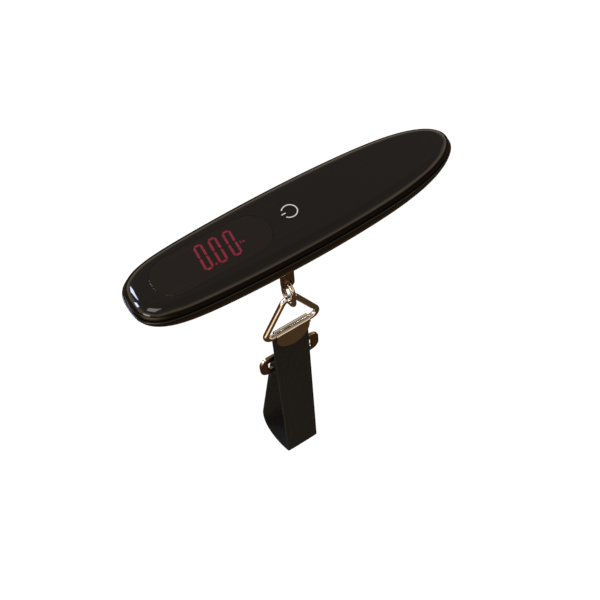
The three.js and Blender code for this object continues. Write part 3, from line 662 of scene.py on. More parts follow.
def bowl_rings(inset, depth, steps):
    """Rings of the bowl from its flat up to just below its mouth."""
    last = math.acos(LAND_SHARE ** (BOWL_POWER / 2))
    flat = math.sin(last) ** (2 / BOWL_POWER)
    rings = []
    for step in range(steps, 0, -1):
        turn = step / steps * last
        drop = math.sin(turn) ** (2 / BOWL_POWER) / flat
        rings.append((-depth * drop, inset, math.cos(turn) ** (2 / BOWL_POWER)))
    return rings


def shell_rings():
    inside = bowl_rings(WALL, BOWL_DEPTH - WALL, INSIDE_STEPS)
    groove = (GROOVE_Z, WALL, 1)
    rim = [(z * MM, inset * MM, 1) for z, inset in RIM]
    outside = bowl_rings(0, BOWL_DEPTH, OUTSIDE_STEPS)
    support = (-BOWL_DEPTH, 0, SUPPORT_SHARE)
    return [*inside, groove, *reversed(rim), *reversed(outside), support]


shell = handle_body("shell", shell_rings())

# %% [markdown]
# The door is cut from the shell itself, so that its skin carries on the bowl's curve: a copy of the
# shell is kept only where a rounded box crosses it, and the shell loses a slightly larger box. The
# finger ridges are slices of a bowl that is a little larger than the shell's.

# %% Battery door
DOOR_CORNER = 4 * MM
BELOW_BOWL = -BOWL_DEPTH * 1.5
RIDGES = 5
RIDGE_PITCH = 1.6 * MM
RIDGE_WIDTH = 0.8 * MM
RIDGE_HALF = 5 * MM
RIDGE_RISE = 0.35 * MM
RIDGE_INSET = 6 * MM
TAB_SPACING = 5 * MM
TAB_REACH = 1.6 * MM
TAB_SIZE = Vector((3.6, 3, 1)) * MM
FOOT_INSET = 0.4 * MM
FOOT_DROP = 1.2 * MM
FOOT_SIZE = Vector((1.6, 3, 2.2)) * MM
TAB_CORNER = 0.3 * MM
DOOR_TOP = node_box("battery_cell_a")[0].z - 0.1 * MM


def door_block(name, extra):
    grow = Vector((extra, extra, 0))
    low = Vector((door_start_x, -door_high.y, BELOW_BOWL)) - grow
    high = Vector((door_high.x, door_high.y, DOOR_TOP)) + grow
    return plate(name, low, high, DOOR_CORNER + extra)


hinge = next(joint for joint in frame["joints"] if joint["name"] == "door_hinge")
door_start_x = hinge["pos_m"][0]
door = copy_of(shell, "door")
combine(door, door_block("door_block", 0), "INTERSECT")
proud_rings = bowl_rings(-RIDGE_RISE, BOWL_DEPTH + RIDGE_RISE, INSIDE_STEPS)
proud = handle_body("proud_bowl", [*proud_rings, (0, -RIDGE_RISE, 1)])
for ridge in range(RIDGES):
    low = Vector((door_high.x - RIDGE_INSET - ridge * RIDGE_PITCH, -RIDGE_HALF, BELOW_BOWL))
    high = Vector((low.x + RIDGE_WIDTH, RIDGE_HALF, -BOWL_DEPTH + WALL))
    slab = plate(f"slab_{ridge}", low, high, RIDGE_RISE, 4)
    combine(slab, copy_of(proud, f"proud_{ridge}"), "INTERSECT")
    combine(door, slab, "UNION")
bpy.data.objects.remove(proud)
for side in (-1, 1):
    tab_root = Vector((door_start_x, side * TAB_SPACING - TAB_SIZE.y / 2, door_low.z + WALL + RIDGE_RISE))
    tab_low = tab_root - Vector((TAB_REACH, 0, 0))
    foot_low = tab_root + Vector((FOOT_INSET, 0, -FOOT_DROP))
    combine(door, plate("tab", tab_low, tab_low + TAB_SIZE, TAB_CORNER, 3), "UNION")
    combine(door, plate("foot", foot_low, foot_low + FOOT_SIZE, TAB_CORNER, 3), "UNION")
complete(door, "door", ["battery_door"], "gloss_black")

# %% [markdown]
# Now the shell gets its holes: the door's opening, a deep hole for each screw's head, and the hole
# that the hanger's bush stands in. Each screw's pillar is trimmed to the shell's own outer skin.

# %% Shell holes
SCREWS = [f"case_screw_{number}" for number in range(1, 5)]
SCREW_HEAD = 1.5 * MM
PILLAR_WALL = 1.2 * MM
PILLAR_HEIGHT = 3 * MM
BUSH_RADIUS = 3.8 * MM
BUSH_ROOM = 0.1 * MM
UNDER_ALL = -BOWL_DEPTH * 2
SKIN_TOP = -0.5 * MM


def upright(name, middle, radius, high_z):
    """A round bar from under the handle up to a height."""
    place = (middle.x, middle.y, (UNDER_ALL + high_z) / 2)
    return start_bar(name, radius, high_z - UNDER_ALL, vertices=48, location=place)


bush_low, bush_high = node_box("hanger_bush")
bush_middle = (bush_low + bush_high) / 2
combine(shell, door_block("door_opening", GAP), "DIFFERENCE")
skin_rings = [(-BOWL_DEPTH, 0, SUPPORT_SHARE), *bowl_rings(0, BOWL_DEPTH, OUTSIDE_STEPS), (SKIN_TOP, 0, 1)]
skin = handle_body("skin", skin_rings)
for name in SCREWS:
    low, high = node_box(name)
    middle, radius = (low + high) / 2, (high.x - low.x) / 2
    pillar = upright("pillar", middle, radius + PILLAR_WALL, low.z + PILLAR_HEIGHT)
    combine(pillar, copy_of(skin, "skin_for_pillar"), "INTERSECT")
    combine(shell, pillar, "UNION")
    combine(shell, upright("sink", middle, radius + GAP, low.z + SCREW_HEAD), "DIFFERENCE")
bpy.data.objects.remove(skin)
combine(shell, upright("bush_hole", bush_middle, BUSH_RADIUS + BUSH_ROOM, 0), "DIFFERENCE")
complete(shell, "handle", ["bottom_shell"], "gloss_black")

# %% [markdown]
# ## The key's mark
#
# The touch key is only a printed mark: an open ring with a short bar in its opening. A small flat
# bar is placed on the ring's line and spun round the centre, which leaves the opening free.

# %% Key mark
KEY_CENTRE = Vector((-2.6, 1.0, 0)) * MM
KEY_RADIUS = 3.2 * MM
MARK_WIDTH = 0.46 * MM
MARK_RISE = 0.02 * MM
OPENING = math.radians(70)
BAR_OVERHANG = 0.5 * MM
BAR_LENGTH = 1.9 * MM


def key_mark():
    start_angle = math.pi + OPENING / 2
    spoke = Vector((math.cos(start_angle), math.sin(start_angle), 0))
    piece = start(
        "key_mark", bpy.ops.mesh.primitive_plane_add, size=1,
        location=KEY_CENTRE + spoke * KEY_RADIUS + Vector((0, 0, FACE_Z)),
        rotation=(math.pi / 2, 0, start_angle), scale=(MARK_WIDTH, MARK_RISE * 2, 1),
    )
    edit(piece, "SELECT")
    turn = math.tau - OPENING
    bpy.ops.mesh.spin(steps=56, angle=-turn, center=KEY_CENTRE, axis=(0, 0, 1))
    merge_and_close(piece)
    bar_low = KEY_CENTRE + Vector((-KEY_RADIUS - BAR_OVERHANG, -MARK_WIDTH / 2, FACE_Z - MARK_RISE))
    bar_high = bar_low + Vector((BAR_LENGTH, MARK_WIDTH, MARK_RISE * 2))
    combine(piece, plate("key_bar", bar_low, bar_high, MARK_WIDTH * 0.2, 3), "UNION")
    return piece


complete(key_mark(), "handle", [], "led_white", "mark_white")

# %% [markdown]
# ## Digits
#
# The display shows 0.00. Each digit is made of six lit bars with pointed ends. A bar is modelled
# from a box, by pulling the middle of its short sides out. The digits lean a little, so each point
# is moved along X by its height.

# %% Digits
DIGIT_WIDTH = 2.9 * MM
DIGIT_HEIGHT = 12.1 * MM
STROKE = 1.0 * MM
DIGIT_LEAN = math.tan(math.radians(5))
FIRST_DIGIT = Vector((-41.9, 0.8, 0))
DIGIT_STEP = Vector((6.25, -0.2, 0))
DIGIT_PLACES = [(FIRST_DIGIT + DIGIT_STEP * number) * MM for number in range(3)]
SEGMENT_GAP = 0.12 * MM
BESIDE_DIGIT = 3.1 * MM
POINT_SIZE = 0.9 * MM
POINT_Y = -5.6 * MM
UNIT_Y = -1.5 * MM
UNIT_STROKE = 0.5 * MM
UNIT_HEIGHT = 1.5 * MM
UNIT_WIDTH = 1.3 * MM
UNIT_DROP = 0.3 * MM


def lit_bar(name, middle, length, upright):
    """A bar with pointed ends, lying on the lens."""
    half, tip = length / 2 - SEGMENT_GAP, STROKE / 2
    piece = start_box(name, ((half - tip) * 2, STROKE, MARK_RISE * 2), location=(0, 0, FACE_Z))
    edit(piece, "SELECT")
    bpy.ops.mesh.subdivide(number_cuts=1)
    pick(piece, lambda co: abs(co.y) < STROKE * 0.1 and abs(co.x) > (half - tip) * 0.9)
    bpy.ops.transform.resize(value=(half / (half - tip), 1, 1), center_override=(0, 0, 0))
    only(piece)
    if upright:
        piece.data.transform(Matrix.Rotation(math.pi / 2, 4, "Z"))
    piece.data.transform(Matrix.Translation(middle))
    return piece


def digit_bars(number, place):
    bars = []
    across, up = Vector((DIGIT_WIDTH / 2, 0, 0)), Vector((0, DIGIT_HEIGHT / 2, 0))
    for side in (-1, 1):
        bars.append(lit_bar(f"bar_{number}", place + up * side, DIGIT_WIDTH, False))
        for level in (-1, 1):
            middle = place + across * side + up * level / 2
            bars.append(lit_bar(f"bar_{number}", middle, DIGIT_HEIGHT / 2, True))
    return bars


def joined(name, pieces):
    only(None)
    for piece in pieces:
        piece.select_set(True)
    bpy.context.view_layer.objects.active = pieces[0]
    bpy.ops.object.join()
    pieces[0].name = pieces[0].data.name = name
    return pieces[0]


def display_digits():
    bars = [bar for number, place in enumerate(DIGIT_PLACES) for bar in digit_bars(number, place)]
    unit = DIGIT_PLACES[2] + Vector((BESIDE_DIGIT, UNIT_Y, 0))
    dots = [
        (DIGIT_PLACES[0] + Vector((BESIDE_DIGIT, POINT_Y, 0)), POINT_SIZE, POINT_SIZE),
        (unit, UNIT_STROKE, UNIT_HEIGHT),
        (unit + Vector((UNIT_WIDTH, -UNIT_DROP, 0)), UNIT_WIDTH, UNIT_STROKE),
    ]
    for middle, width, height in dots:
        half = Vector((width / 2, height / 2, MARK_RISE))
        centre = middle + Vector((0, 0, FACE_Z))
        bars.append(plate("dot", centre - half, centre + half, min(width, height) * 0.3, 3))
    digits = joined("digits", bars)
    for vertex in digits.data.vertices:
        vertex.co.x += (vertex.co.y - DIGIT_PLACES[0].y) * DIGIT_LEAN
    return digits


complete(display_digits(), "handle", [], "led_white", "digit_glow")

# %% [markdown]
# ## Turned pieces
#
# The hanger's shank, its bush and the screws are turned on a lathe. A chain of edges is the
# profile, and Spin turns it round the axis. The profile's points are [radius, height].

# %% Turning
def turned(name, profile, middle, steps=48):
    """Spins a profile round the upright axis through middle."""
    piece = start(name, bpy.ops.mesh.primitive_plane_add, size=MM)
    mesh = edit(piece)
    bmesh.ops.delete(mesh, geom=list(mesh.verts), context="VERTS")
    points = [mesh.verts.new((middle.x + radius, middle.y, z)) for radius, z in profile]
    for first, second in zip(points, points[1:]):
        mesh.edges.new((first, second))
    bmesh.update_edit_mesh(piece.data)
    bpy.ops.mesh.select_all(action="SELECT")
    bpy.ops.mesh.spin(steps=steps, angle=math.tau, center=(middle.x, middle.y, 0), axis=(0, 0, 1))
    merge_and_close(piece)
    return piece


SCREW_SHANK_SHARE = 0.52
RECESS_SIZE = Vector((1.25, 0.5, 1.6))


def case_screw(name, low, high):
    """A pan head with a cross recess, its shank going up into the case."""
    middle, radius = (low + high) / 2, (high.x - low.x) / 2
    shank, head_top = radius * SCREW_SHANK_SHARE, low.z + SCREW_HEAD
    profile = [
        (0, low.z), (radius * 0.7, low.z + 0.05 * MM), (radius * 0.93, low.z + 0.3 * MM),
        (radius, low.z + 0.7 * MM), (radius, head_top), (shank, head_top), (shank, high.z - MM), (0, high.z),
    ]
    piece = turned(name, profile, middle, 32)
    recess = (radius * RECESS_SIZE.x, RECESS_SIZE.y * MM, RECESS_SIZE.z * MM)
    for turn in (math.pi / 4, math.pi * 3 / 4):
        slot = start_box("slot", recess, location=(middle.x, middle.y, low.z), rotation=(0, 0, turn))
        combine(piece, slot, "DIFFERENCE")
    return piece


first_low, first_high = node_box(SCREWS[0])
first_screw = case_screw("screw_1", first_low, first_high)
screw_pieces = [first_screw]
for number, name in enumerate(SCREWS[1:], 2):
    screw_pieces.append(copy_of(first_screw, f"screw_{number}", node_box(name)[0] - first_low))
for piece, name in zip(screw_pieces, SCREWS):
    complete(piece, "handle", [name], "nickel")

# %% Bush
BUSH_BORE = 2.5 * MM
BUSH_FLANGE = 1.2 * MM
FLANGE_CHAMFER = 0.5 * MM
flange_radius = (bush_high.x - bush_low.x) / 2
flange_top = bush_low.z + BUSH_FLANGE
bush = turned("bush", [
    (BUSH_BORE, bush_low.z), (flange_radius - FLANGE_CHAMFER, bush_low.z),
    (flange_radius, bush_low.z + FLANGE_CHAMFER), (flange_radius, flange_top), (BUSH_RADIUS, flange_top),
    (BUSH_RADIUS, bush_high.z), (BUSH_BORE, bush_high.z), (BUSH_BORE, bush_low.z),
], bush_middle)
complete(bush, "handle", ["hanger_bush"], "matt_black")

# %% [markdown]
# ## Hanger
#
# The hanger is one forging: a round shank with a collar, flattened below into an eye. The blade is
# a pill turned upright and drilled, its edges are rounded by a bevel, and it is joined to the shank.

# %% Hanger eye
eye_low, eye_high = node_box("hanger_eye")
EYE_HOLE = 1.8 * MM
EYE_TIP_WALL = 1.9 * MM
SHANK = 2.2 * MM
BLADE_WIDTH = 6.5 * MM
BLADE_THICKNESS = 2.2 * MM
hanger_middle = Vector(((eye_low.x + eye_high.x) / 2, 0, 0))
COLLAR_ROOM = 0.6 * MM
COLLAR_HEIGHT = 1.8 * MM
COLLAR_RIM = 1 * MM
BLADE_OVERLAP = 1.2 * MM
EDGE_SOFTNESS = 0.45 * MM
collar_top = bush_low.z - COLLAR_ROOM
collar_bottom = collar_top - COLLAR_HEIGHT


def hanger_eye():
    blade_top = collar_bottom + BLADE_OVERLAP
    half = Vector((blade_top - eye_low.z, BLADE_WIDTH, BLADE_THICKNESS)) / 2
    blade = pill("eye", -half, half)
    stand = Matrix.Rotation(math.pi / 2, 4, "X") @ Matrix.Rotation(math.pi / 2, 4, "Z")
    middle = Vector((hanger_middle.x, 0, (blade_top + eye_low.z) / 2))
    blade.data.transform(Matrix.Translation(middle) @ stand)
    hole_middle = (hanger_middle.x, 0, eye_low.z + EYE_TIP_WALL + EYE_HOLE)
    drill = start_bar(
        "drill", EYE_HOLE, BLADE_WIDTH, vertices=40, location=hole_middle, rotation=(math.pi / 2, 0, 0),
    )
    combine(blade, drill, "DIFFERENCE")
    soften_edges(blade, EDGE_SOFTNESS, 4)
    rim = SHANK + COLLAR_RIM
    shank = turned("shank", [
        (0, collar_bottom - 1.5 * MM), (SHANK * 0.8, collar_bottom - 1.2 * MM),
        (SHANK, collar_bottom - 0.4 * MM), (rim - 0.2 * MM, collar_bottom), (rim, collar_bottom + 0.3 * MM),
        (rim, collar_top - 0.3 * MM), (rim - 0.3 * MM, collar_top), (SHANK, collar_top),
        (SHANK, eye_high.z), (0, eye_high.z),
    ], hanger_middle)
    combine(blade, shank, "UNION")
    return blade


complete(hanger_eye(), "hanger", ["hanger_eye"], "bronzed_steel")

# %% [markdown]
# ## Link and ring
#
# Both are round wire, bent and welded. A small circle is the wire's section: it is extruded along
# the straight stretches and spun round the bends until it is back where it began. Blender's Spin
# turns against the right-hand rule, so the helper changes the sign.

# %% Bending wire
def bent_wire(name, middle, section_turn, radius, moves, points=24):
    """A closed wire through moves, each ("straight", vector) or ("bend", centre, axis, angle)."""
    piece = start(
        name, bpy.ops.mesh.primitive_circle_add, vertices=points, radius=radius, location=middle,
        rotation=section_turn,
    )
    edit(piece, "SELECT")
    for kind, *values in moves:
        if kind == "straight":
            bpy.ops.mesh.extrude_region_move(TRANSFORM_OT_translate={"value": values[0]})
        else:
            centre, axis, angle = values
            steps = max(6, round(math.degrees(abs(angle)) / 5))
            bpy.ops.mesh.spin(steps=steps, angle=-angle, center=centre, axis=axis)
    merge_and_close(piece)
    return piece


link_low, link_high = node_box("chain_link")
link_wire = (link_high.x - link_low.x) / 2
link_bend = (link_high.y - link_low.y) / 2 - link_wire
link_straight = (link_high.z - link_low.z) / 2 - link_wire - link_bend


def chain_link():
    x, middle_z = (link_low.x + link_high.x) / 2, (link_low.z + link_high.z) / 2
    begin = Vector((x, link_bend, middle_z - link_straight))
    upper, lower = Vector((x, 0, middle_z + link_straight)), Vector((x, 0, middle_z - link_straight))
    rise = Vector((0, 0, link_straight * 2))
    axis = (1, 0, 0)
    moves = [
        ("straight", rise), ("bend", upper, axis, math.pi),
        ("straight", -rise), ("bend", lower, axis, math.pi),
    ]
    return bent_wire("link", begin, (0, 0, 0), link_wire, moves)


complete(chain_link(), "link", ["chain_link"], "chrome")

# %% Triangle ring
ring_low, ring_high = node_box("triangle_ring")
ring_wire = (ring_high.y - ring_low.y) / 2
RING_CORNER = 3.2 * MM
RING_APEX = 4.5 * MM
ring_base_z = ring_low.z + ring_wire
ring_top_z = ring_high.z - ring_wire
ring_middle_x = (ring_low.x + ring_high.x) / 2


def triangle_ring():
    base_half = (ring_high.x - ring_low.x) / 2 - ring_wire - RING_CORNER
    height = ring_top_z - ring_base_z
    rise = height - RING_APEX - RING_CORNER
    distance = math.hypot(base_half, rise)
    lean = math.atan2(rise, -base_half) - math.acos((RING_CORNER - RING_APEX) / distance)
    corners = [Vector((ring_middle_x + side * base_half, 0, ring_base_z + RING_CORNER)) for side in (1, -1)]
    apex = Vector((ring_middle_x, 0, ring_top_z - RING_APEX))
    outward = Vector((math.cos(lean), 0, math.sin(lean)))
    right_leg = (apex + outward * RING_APEX) - (corners[0] + outward * RING_CORNER)
    left_leg = Vector((right_leg.x, 0, -right_leg.z))
    half_base = Vector((base_half, 0, 0))
    axis = (0, -1, 0)
    moves = [
        ("straight", half_base), ("bend", corners[0], axis, math.pi / 2 + lean), ("straight", right_leg),
        ("bend", apex, axis, math.pi - 2 * lean), ("straight", left_leg),
        ("bend", corners[1], axis, math.pi / 2 + lean), ("straight", half_base),
    ]
    begin = Vector((ring_middle_x, 0, ring_base_z))
    return bent_wire("ring", begin, (0, math.pi / 2, 0), ring_wire, moves, 28)


complete(triangle_ring(), "ring", ["triangle_ring"], "chrome")

# %% [markdown]
# ## Clamp
#
# The clamp is one strip of sheet, rolled round the ring's base so that its two ends hang down as
# flaps and grip the webbing. An open cylinder loses the faces at its bottom, the two free edges are
# pulled down, Solidify gives the sheet its thickness, and a box with a half-ellipse below it trims
# the flaps.

# %% Clamp
clamp_low, clamp_high = node_box("strap_clamp")
SHEET = 0.5 * MM
WEB_THICKNESS = 1.4 * MM
clamp_length = clamp_high.x - clamp_low.x
roll_radius = clamp_high.z - ring_base_z - SHEET / 2
flap_y = (WEB_THICKNESS + SHEET) / 2 + 0.1 * MM
NECK_DROP = 0.35 * MM
SHOULDER_DROP = 0.85 * MM
TRIM_ROOM = 0.02 * MM
TRIM_HEIGHT = 10 * MM
TRIM_DEPTH = 20 * MM
TRIM_POINTS = 96


def pull_flap(piece, side, drop):
    """Picks the roll's free edge on one side and pulls it down into a flap, past a short neck."""
    pick(piece, lambda ends: (
        all(side * co.y > 0 and abs(co.y) < flap_y * 1.35 for co in ends)
        and all(co.z < ring_base_z - roll_radius * 0.7 for co in ends)
        and abs(ends[0].x - ends[1].x) > clamp_length / 2
    ), "edges")
    mesh = bmesh.from_edit_mesh(piece.data)
    free = [edge for edge in mesh.edges if edge.select and edge.is_boundary]
    for edge in mesh.edges:
        edge.select_set(edge in free)
    bmesh.update_edit_mesh(piece.data)
    for depth in (roll_radius + NECK_DROP, drop):
        bpy.ops.mesh.extrude_edges_move()
        move_picked(piece, lambda vertex: Vector((vertex.co.x, side * flap_y, ring_base_z - depth)))


def flap_trim(middle, drop):
    """A box round the roll, with a half-ellipse under it that rounds the flaps."""
    half_length = clamp_length / 2 + TRIM_ROOM
    shoulder = middle - Vector((0, 0, roll_radius + SHOULDER_DROP))
    turn = (math.pi / 2, math.pi / TRIM_POINTS, 0)
    trim = start_bar("trim", 1, TRIM_DEPTH, vertices=TRIM_POINTS, rotation=turn)
    stretch = Matrix.Diagonal((half_length, 1, drop - (middle.z - shoulder.z), 1))
    trim.data.transform(Matrix.Translation(shoulder) @ stretch)
    size = (half_length * 2, TRIM_DEPTH - MM, TRIM_HEIGHT)
    box = start_box("trim_top", size, location=shoulder + Vector((0, 0, TRIM_HEIGHT / 2)))
    combine(box, trim, "UNION")
    return box


def strap_clamp():
    middle = Vector((ring_middle_x, 0, ring_base_z))
    piece = start_bar(
        "clamp", roll_radius, clamp_length, vertices=64, end_fill_type="NOTHING", location=middle,
        rotation=(0, math.pi / 2, 0),
    )
    edit(piece)
    pick(piece, lambda ends: all(abs(co.y) < flap_y * 1.1 and co.z < ring_base_z for co in ends), "faces")
    bpy.ops.mesh.delete(type="FACE")
    drop = ring_base_z - clamp_low.z
    for side in (-1, 1):
        pull_flap(piece, side, drop)
    only(piece)
    use_modifier(piece, "SOLIDIFY", thickness=SHEET, offset=0, use_even_offset=True)
    combine(piece, flap_trim(middle, drop), "INTERSECT")
    soften_edges(piece, 0.07 * MM, 2, 50)
    return piece


complete(strap_clamp(), "strap", ["strap_clamp"], "chrome")

# %% [markdown]
# ## Buckle plate
#
# A stamped plate with one wide slot. It is a rounded box with a rounded box cut out of it, and a
# bevel softens all its edges as a tumbling drum would.

# %% Plate
plate_low, plate_high = node_box("buckle_plate")
LOWER_BAR = 3.6 * MM
SLOT_HEIGHT = 6.8 * MM
SLOT_HALF = 12.75 * MM
PLATE_CORNER = 5 * MM
SLOT_CORNER = 1.2 * MM


def buckle_plate():
    size = plate_high - plate_low
    flat = Vector((size.x, size.z, size.y)) / 2
    piece = plate("slotted_plate", -flat, flat, PLATE_CORNER)
    slot_low = Vector((-SLOT_HALF, -flat.y + LOWER_BAR, -size.y))
    slot_high = Vector((SLOT_HALF, slot_low.y + SLOT_HEIGHT, size.y))
    combine(piece, plate("slot", slot_low, slot_high, SLOT_CORNER), "DIFFERENCE")
    soften_edges(piece, EDGE_SOFTNESS, 4)
    middle = Matrix.Translation((plate_low + plate_high) / 2)
    piece.data.transform(middle @ Matrix.Rotation(math.pi / 2, 4, "X"))
    return piece


complete(buckle_plate(), "plate", ["buckle_plate"], "bronzed_steel")

# %% [markdown]
# ## Webbing
#
# Webbing hangs where it is held, so its middle line is drawn first: down the front, a soft crease,
# round the foot of the loop, up the back, over the plate's lower bar and down to its sewn end. A
# flat grid is then wrapped round that line: one way of the grid goes round the webbing's thin
# section, and the other goes along the line. Each weft rib is a small swell in the thickness.

# %% Webbing's middle line
web_low, web_high = node_box("webbing_strap")
RIB_DEPTH = 0.13 * MM
CREASE_DROP = 130.7 * MM
crease_z = ring_base_z - CREASE_DROP
LOBE_REACH = 28.2 * MM
LOBE_RISE = 4.5 * MM
FLAP_START = 8 * MM
FLAP_LENGTH = 11 * MM
bar_middle = Vector(((plate_low.y + plate_high.y) / 2, plate_low.z + LOWER_BAR / 2))
wrap_radius = math.hypot(LOWER_BAR, plate_high.y - plate_low.y) / 2 + GAP + WEB_THICKNESS / 2


def bezier(first, second, third, fourth, count):
    for step in range(count + 1):
        t = step / count
        start_half = first * (1 - t) ** 3 + second * 3 * t * (1 - t) ** 2
        yield start_half + third * 3 * t * t * (1 - t) + fourth * t ** 3


def straight(first, last, count):
    for step in range(1, count + 1):
        yield first.lerp(last, step / count)


def webbing_line():
    """Points [back, up] of the webbing's middle line, evenly spaced and softly rounded."""
    top, crease = Vector((0, web_high.z)), Vector((0, crease_z))
    foot = Vector((LOBE_REACH, crease_z + LOBE_RISE))
    to_foot = foot - bar_middle
    touch = math.atan2(to_foot.y, to_foot.x) + math.acos(wrap_radius / to_foot.length)
    leave = bar_middle + Vector((math.cos(touch), math.sin(touch))) * wrap_radius
    down = (foot - leave).normalized()
    forward = Vector((down.y, -down.x))
    flap_top = leave + down * FLAP_START + forward * (WEB_THICKNESS + GAP)
    flap_end = flap_top + down * FLAP_LENGTH
    points = [top, *straight(top, crease, 240)]
    points += bezier(
        crease, crease + Vector((0.39, -0.39)) * LOBE_REACH,
        Vector((LOBE_REACH * 1.12, crease_z - LOBE_REACH * 0.73)), foot, 120,
    )
    points += straight(foot, leave, 160)
    for step in range(1, 41):
        turn = touch + (math.pi * 1.1 - touch) * step / 40
        points.append(bar_middle + Vector((math.cos(turn), math.sin(turn))) * wrap_radius)
    points += straight(points[-1], flap_top, 14)
    points += straight(flap_top, flap_end, 20)
    return points


def respaced(points, spacing):
    length = lengths_along(points)
    count = round(length[-1] / spacing)
    spaced, k = [], 0
    for step in range(count + 1):
        along = length[-1] * step / count
        while k < len(length) - 2 and length[k + 1] < along:
            k += 1
        part = (along - length[k]) / max(length[k + 1] - length[k], 1e-9)
        spaced.append(points[k].lerp(points[k + 1], min(part, 1)))
    return spaced, length[-1]


def softened(points, rounds):
    for _ in range(rounds):
        inner = [(a + b * 2 + c) / 4 for a, b, c in zip(points, points[1:], points[2:])]
        points = [points[0], *inner, points[-1]]
    return points


ROWS_PER_RIB = 4
line, web_length = respaced(webbing_line(), RIB_PITCH / ROWS_PER_RIB)
line = softened(line, 12)
print("webbing line", round(web_length / MM, 1), "mm in", len(line), "points")

# %% Webbing's cloth
SECTION = 28
WEB_LEAN = -1.2 * MM
web_width = web_high.x - web_low.x
web_middle_x = (web_low.x + web_high.x) / 2


def section_point(turn):
    """A point of the webbing's flat section, as [across, out of the cloth], for a whole turn."""
    cosine, sine = math.cos(turn), math.sin(turn)
    across = math.copysign(abs(cosine) ** 0.75, cosine) * web_width / 2
    out = math.copysign(abs(sine) ** 0.28, sine) * WEB_THICKNESS / 2
    return across, out


def webbing():
    rows = len(line)
    crease_row = min(range(rows), key=lambda row: (line[row] - Vector((0, crease_z))).length)
    piece = start(
        "webbing", bpy.ops.mesh.primitive_grid_add, x_subdivisions=SECTION, y_subdivisions=rows - 1, size=2,
    )
    uv = piece.data.uv_layers.new(name="cloth")
    flat_place = {}
    for vertex in piece.data.vertices:
        u, v = (vertex.co.x + 1) / 2, (vertex.co.y + 1) / 2
        row = min(round(v * (rows - 1)), rows - 1)
        before, after = line[max(row - 1, 0)], line[min(row + 1, rows - 1)]
        along = (after - before).normalized()
        normal = Vector((-along.y, along.x))
        across, out = section_point(u * math.tau)
        out *= 1 - RIB_DEPTH / WEB_THICKNESS * (1 - math.cos(math.tau * row / ROWS_PER_RIB))
        place = line[row] + normal * out
        rise = min(max((place.y - crease_z) / (web_high.z - crease_z), 0), 1)
        lean = WEB_LEAN * rise if row < crease_row else 0
        vertex.co = (web_middle_x + across + lean, place.x, place.y)
        flat_place[vertex.index] = (across, web_length * row / (rows - 1))
    for loop in piece.data.loops:
        uv.data[loop.index].uv = flat_place[loop.vertex_index]
    merge_and_close(piece)
    return piece


strap = webbing()
complete(strap, "strap", ["webbing_strap"], "webbing", smooth=60)

# %% [markdown]
# ## Stitches
#
# The webbing's end is sewn to its back layer by two rows of thread. One stitch is a small stretched
# sphere, modelled once and copied along each row.

# %% Stitches
THREAD_RADIUS = 0.28 * MM
STITCH_STRETCH = 2.6
STITCH_PITCH = 1.35 * MM
STITCHES_EACH_SIDE = 6
STITCH_ROWS = (2.2 * MM, 8.2 * MM)
SUNK_SHARE = 0.86


def stitches():
    end, before = line[-1], line[-20]
    down = (end - before).normalized()
    out = Vector((-down.y, down.x))
    first = start(
        "stitches", bpy.ops.mesh.primitive_uv_sphere_add, segments=8, ring_count=6, radius=THREAD_RADIUS,
        scale=(STITCH_STRETCH, 1, 1),
    )
    made = []
    for row, back in enumerate(STITCH_ROWS):
        place = end - down * back + out * (WEB_THICKNESS / 2) * SUNK_SHARE
        for number in range(-STITCHES_EACH_SIDE, STITCHES_EACH_SIDE + 1):
            spot = Vector((web_middle_x + number * STITCH_PITCH, place.x, place.y))
            made.append(copy_of(first, f"stitch_{row}_{number + STITCHES_EACH_SIDE}", spot))
    bpy.data.objects.remove(first)
    return joined("stitches", made)


thread = stitches()
complete(thread, "strap", [], "webbing", "lead_black")

# %% [markdown]
# ## Pieces that keep their CAD shape
#
# Inside the case nothing shows until the door is open. These pieces keep the shape that the frame
# gives and only take their finish.

# %% Finishes on the carried-over nodes
slots = {part["node"]: part["material_slot"] for part in frame["record"]["subparts"]}
for name, item in frame["nodes"].items():
    dress(item, slots[name])
print("CAD nodes finished:", len(slots))

# %% [markdown]
# ## Floor, light and surroundings
#
# Gloss shows its surroundings, so they matter as much as the lamps. The floor is pale, and the room
# is a warm brown, brightest near the horizon, which is what a polished surface mirrors. One soft lamp
# stands above and one to the left, and two small cool panes stand for a window.

# %% Surroundings
WARM_STRETCH = (-1.0, -0.55, 0)
WARM_REACH = 0.9
FLOOR_DROP = 0.12
FLOOR_DARK = (0.075, 0.044, 0.022)
FLOOR_WARM = (1.9, 1.45, 1.0)
ROOM_BANDS = [(0.12, (1.25, 1.0, 0.72)), (0.32, (1.1, 0.95, 0.76)), (0.55, (0.34, 0.30, 0.25))]


def seen_or_mirrored(tree, shown, mirrored):
    """Shows one shader to the camera, and the other to reflections and bounces."""
    seen = node(tree, "ShaderNodeLightPath").outputs["Is Camera Ray"]
    return node(tree, "ShaderNodeMixShader", {0: seen, 1: mirrored, 2: shown}).outputs[0]


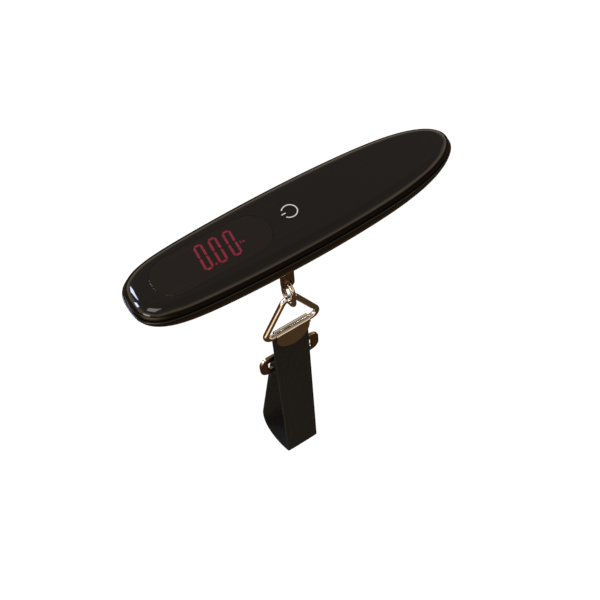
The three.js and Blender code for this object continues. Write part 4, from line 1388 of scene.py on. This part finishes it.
def add_floor():
    """A pale floor. Polished metal mirrors it as dark brown with a warm bright stretch."""
    place = (0, 0, cad_bounds[0][2] - FLOOR_DROP)
    floor = start("floor", bpy.ops.mesh.primitive_plane_add, size=12, location=place)
    material, tree, shader = blank_material("pale_floor")
    tree.nodes.remove(shader)
    far = node(tree, "ShaderNodeVectorMath", {0: object_place(tree)}, operation="DISTANCE")
    far.inputs[1].default_value = WARM_STRETCH
    mask = stepped(tree, far.outputs["Value"], WARM_REACH, WARM_REACH * 0.3)
    colour = mixed_colour(tree, mask, FLOOR_DARK, FLOOR_WARM)
    mirrored = node(tree, "ShaderNodeEmission", {0: colour}, Strength=1.0)
    shown = node(tree, "ShaderNodeEmission", Color=(1, 1, 1, 1), Strength=1.05)
    surface = seen_or_mirrored(tree, shown.outputs[0], mirrored.outputs[0])
    tree.links.new(surface, tree.nodes["Material Output"].inputs["Surface"])
    floor.data.materials.append(material)


def add_room():
    """A room that is brightest near the horizon and dimmer overhead, with soft patches."""
    world = bpy.data.worlds.new("room")
    bpy.context.scene.world = world
    world.use_nodes = True
    tree = world.node_tree
    tree.nodes.clear()
    direction = node(tree, "ShaderNodeTexCoord").outputs["Generated"]
    height = node(tree, "ShaderNodeSeparateXYZ", {0: direction}).outputs["Z"]
    wobble = scaled(tree, noise(tree, direction, 1.0, Scale=2.3), 0.5, -0.25)
    ramp = node(tree, "ShaderNodeValToRGB", {0: maths(tree, "ADD", height, wobble)})
    ramp.color_ramp.elements[0].position = 0.0
    ramp.color_ramp.elements[0].color = (0.22, 0.15, 0.09, 1)
    ramp.color_ramp.elements[1].position = 1.0
    ramp.color_ramp.elements[1].color = (0.26, 0.23, 0.20, 1)
    for position, colour in ROOM_BANDS:
        ramp.color_ramp.elements.new(position).color = (*colour, 1)
    mirrored = node(tree, "ShaderNodeBackground", {0: ramp.outputs[0]}, Strength=1.0)
    shown = node(tree, "ShaderNodeBackground", Color=(0.93, 0.93, 0.93, 1), Strength=1.0)
    output = node(tree, "ShaderNodeOutputWorld")
    tree.links.new(seen_or_mirrored(tree, shown.outputs[0], mirrored.outputs[0]), output.inputs[0])


def add_lamp(name, direction, distance, size, power, colour):
    """An oblong soft lamp that looks at the handle from a direction."""
    data = bpy.data.lights.new(name, "AREA")
    data.shape = "RECTANGLE"
    data.size, data.size_y = size
    data.energy = power
    data.color = colour
    lamp = bpy.data.objects.new(name, data)
    place = Vector(direction).normalized() * distance
    lamp.matrix_world = Matrix.Translation(place) @ place.to_track_quat("Z", "Y").to_matrix().to_4x4()
    bpy.context.collection.objects.link(lamp)


add_floor()
add_room()
LAMPS = [
    ("overhead", (-0.55, -0.25, 0.8), 1.2, (0.5, 0.5), 3.0, (1.0, 0.95, 0.88)),
    ("left_wall", (-1.0, -0.35, 0.1), 1.3, (0.5, 0.3), 3.0, (1.0, 0.92, 0.8)),
    ("window_left", (-0.45, 0.62, 0.62), 1.0, (0.22, 0.30), 5.0, (0.66, 0.76, 1.0)),
    ("window_right", (-0.84, 0.38, 0.40), 1.0, (0.20, 0.26), 4.0, (0.66, 0.76, 1.0)),
]
for lamp in LAMPS:
    add_lamp(*lamp)
bpy.context.scene.view_settings.view_transform = "Standard"
print("lamps:", [lamp[0] for lamp in LAMPS])
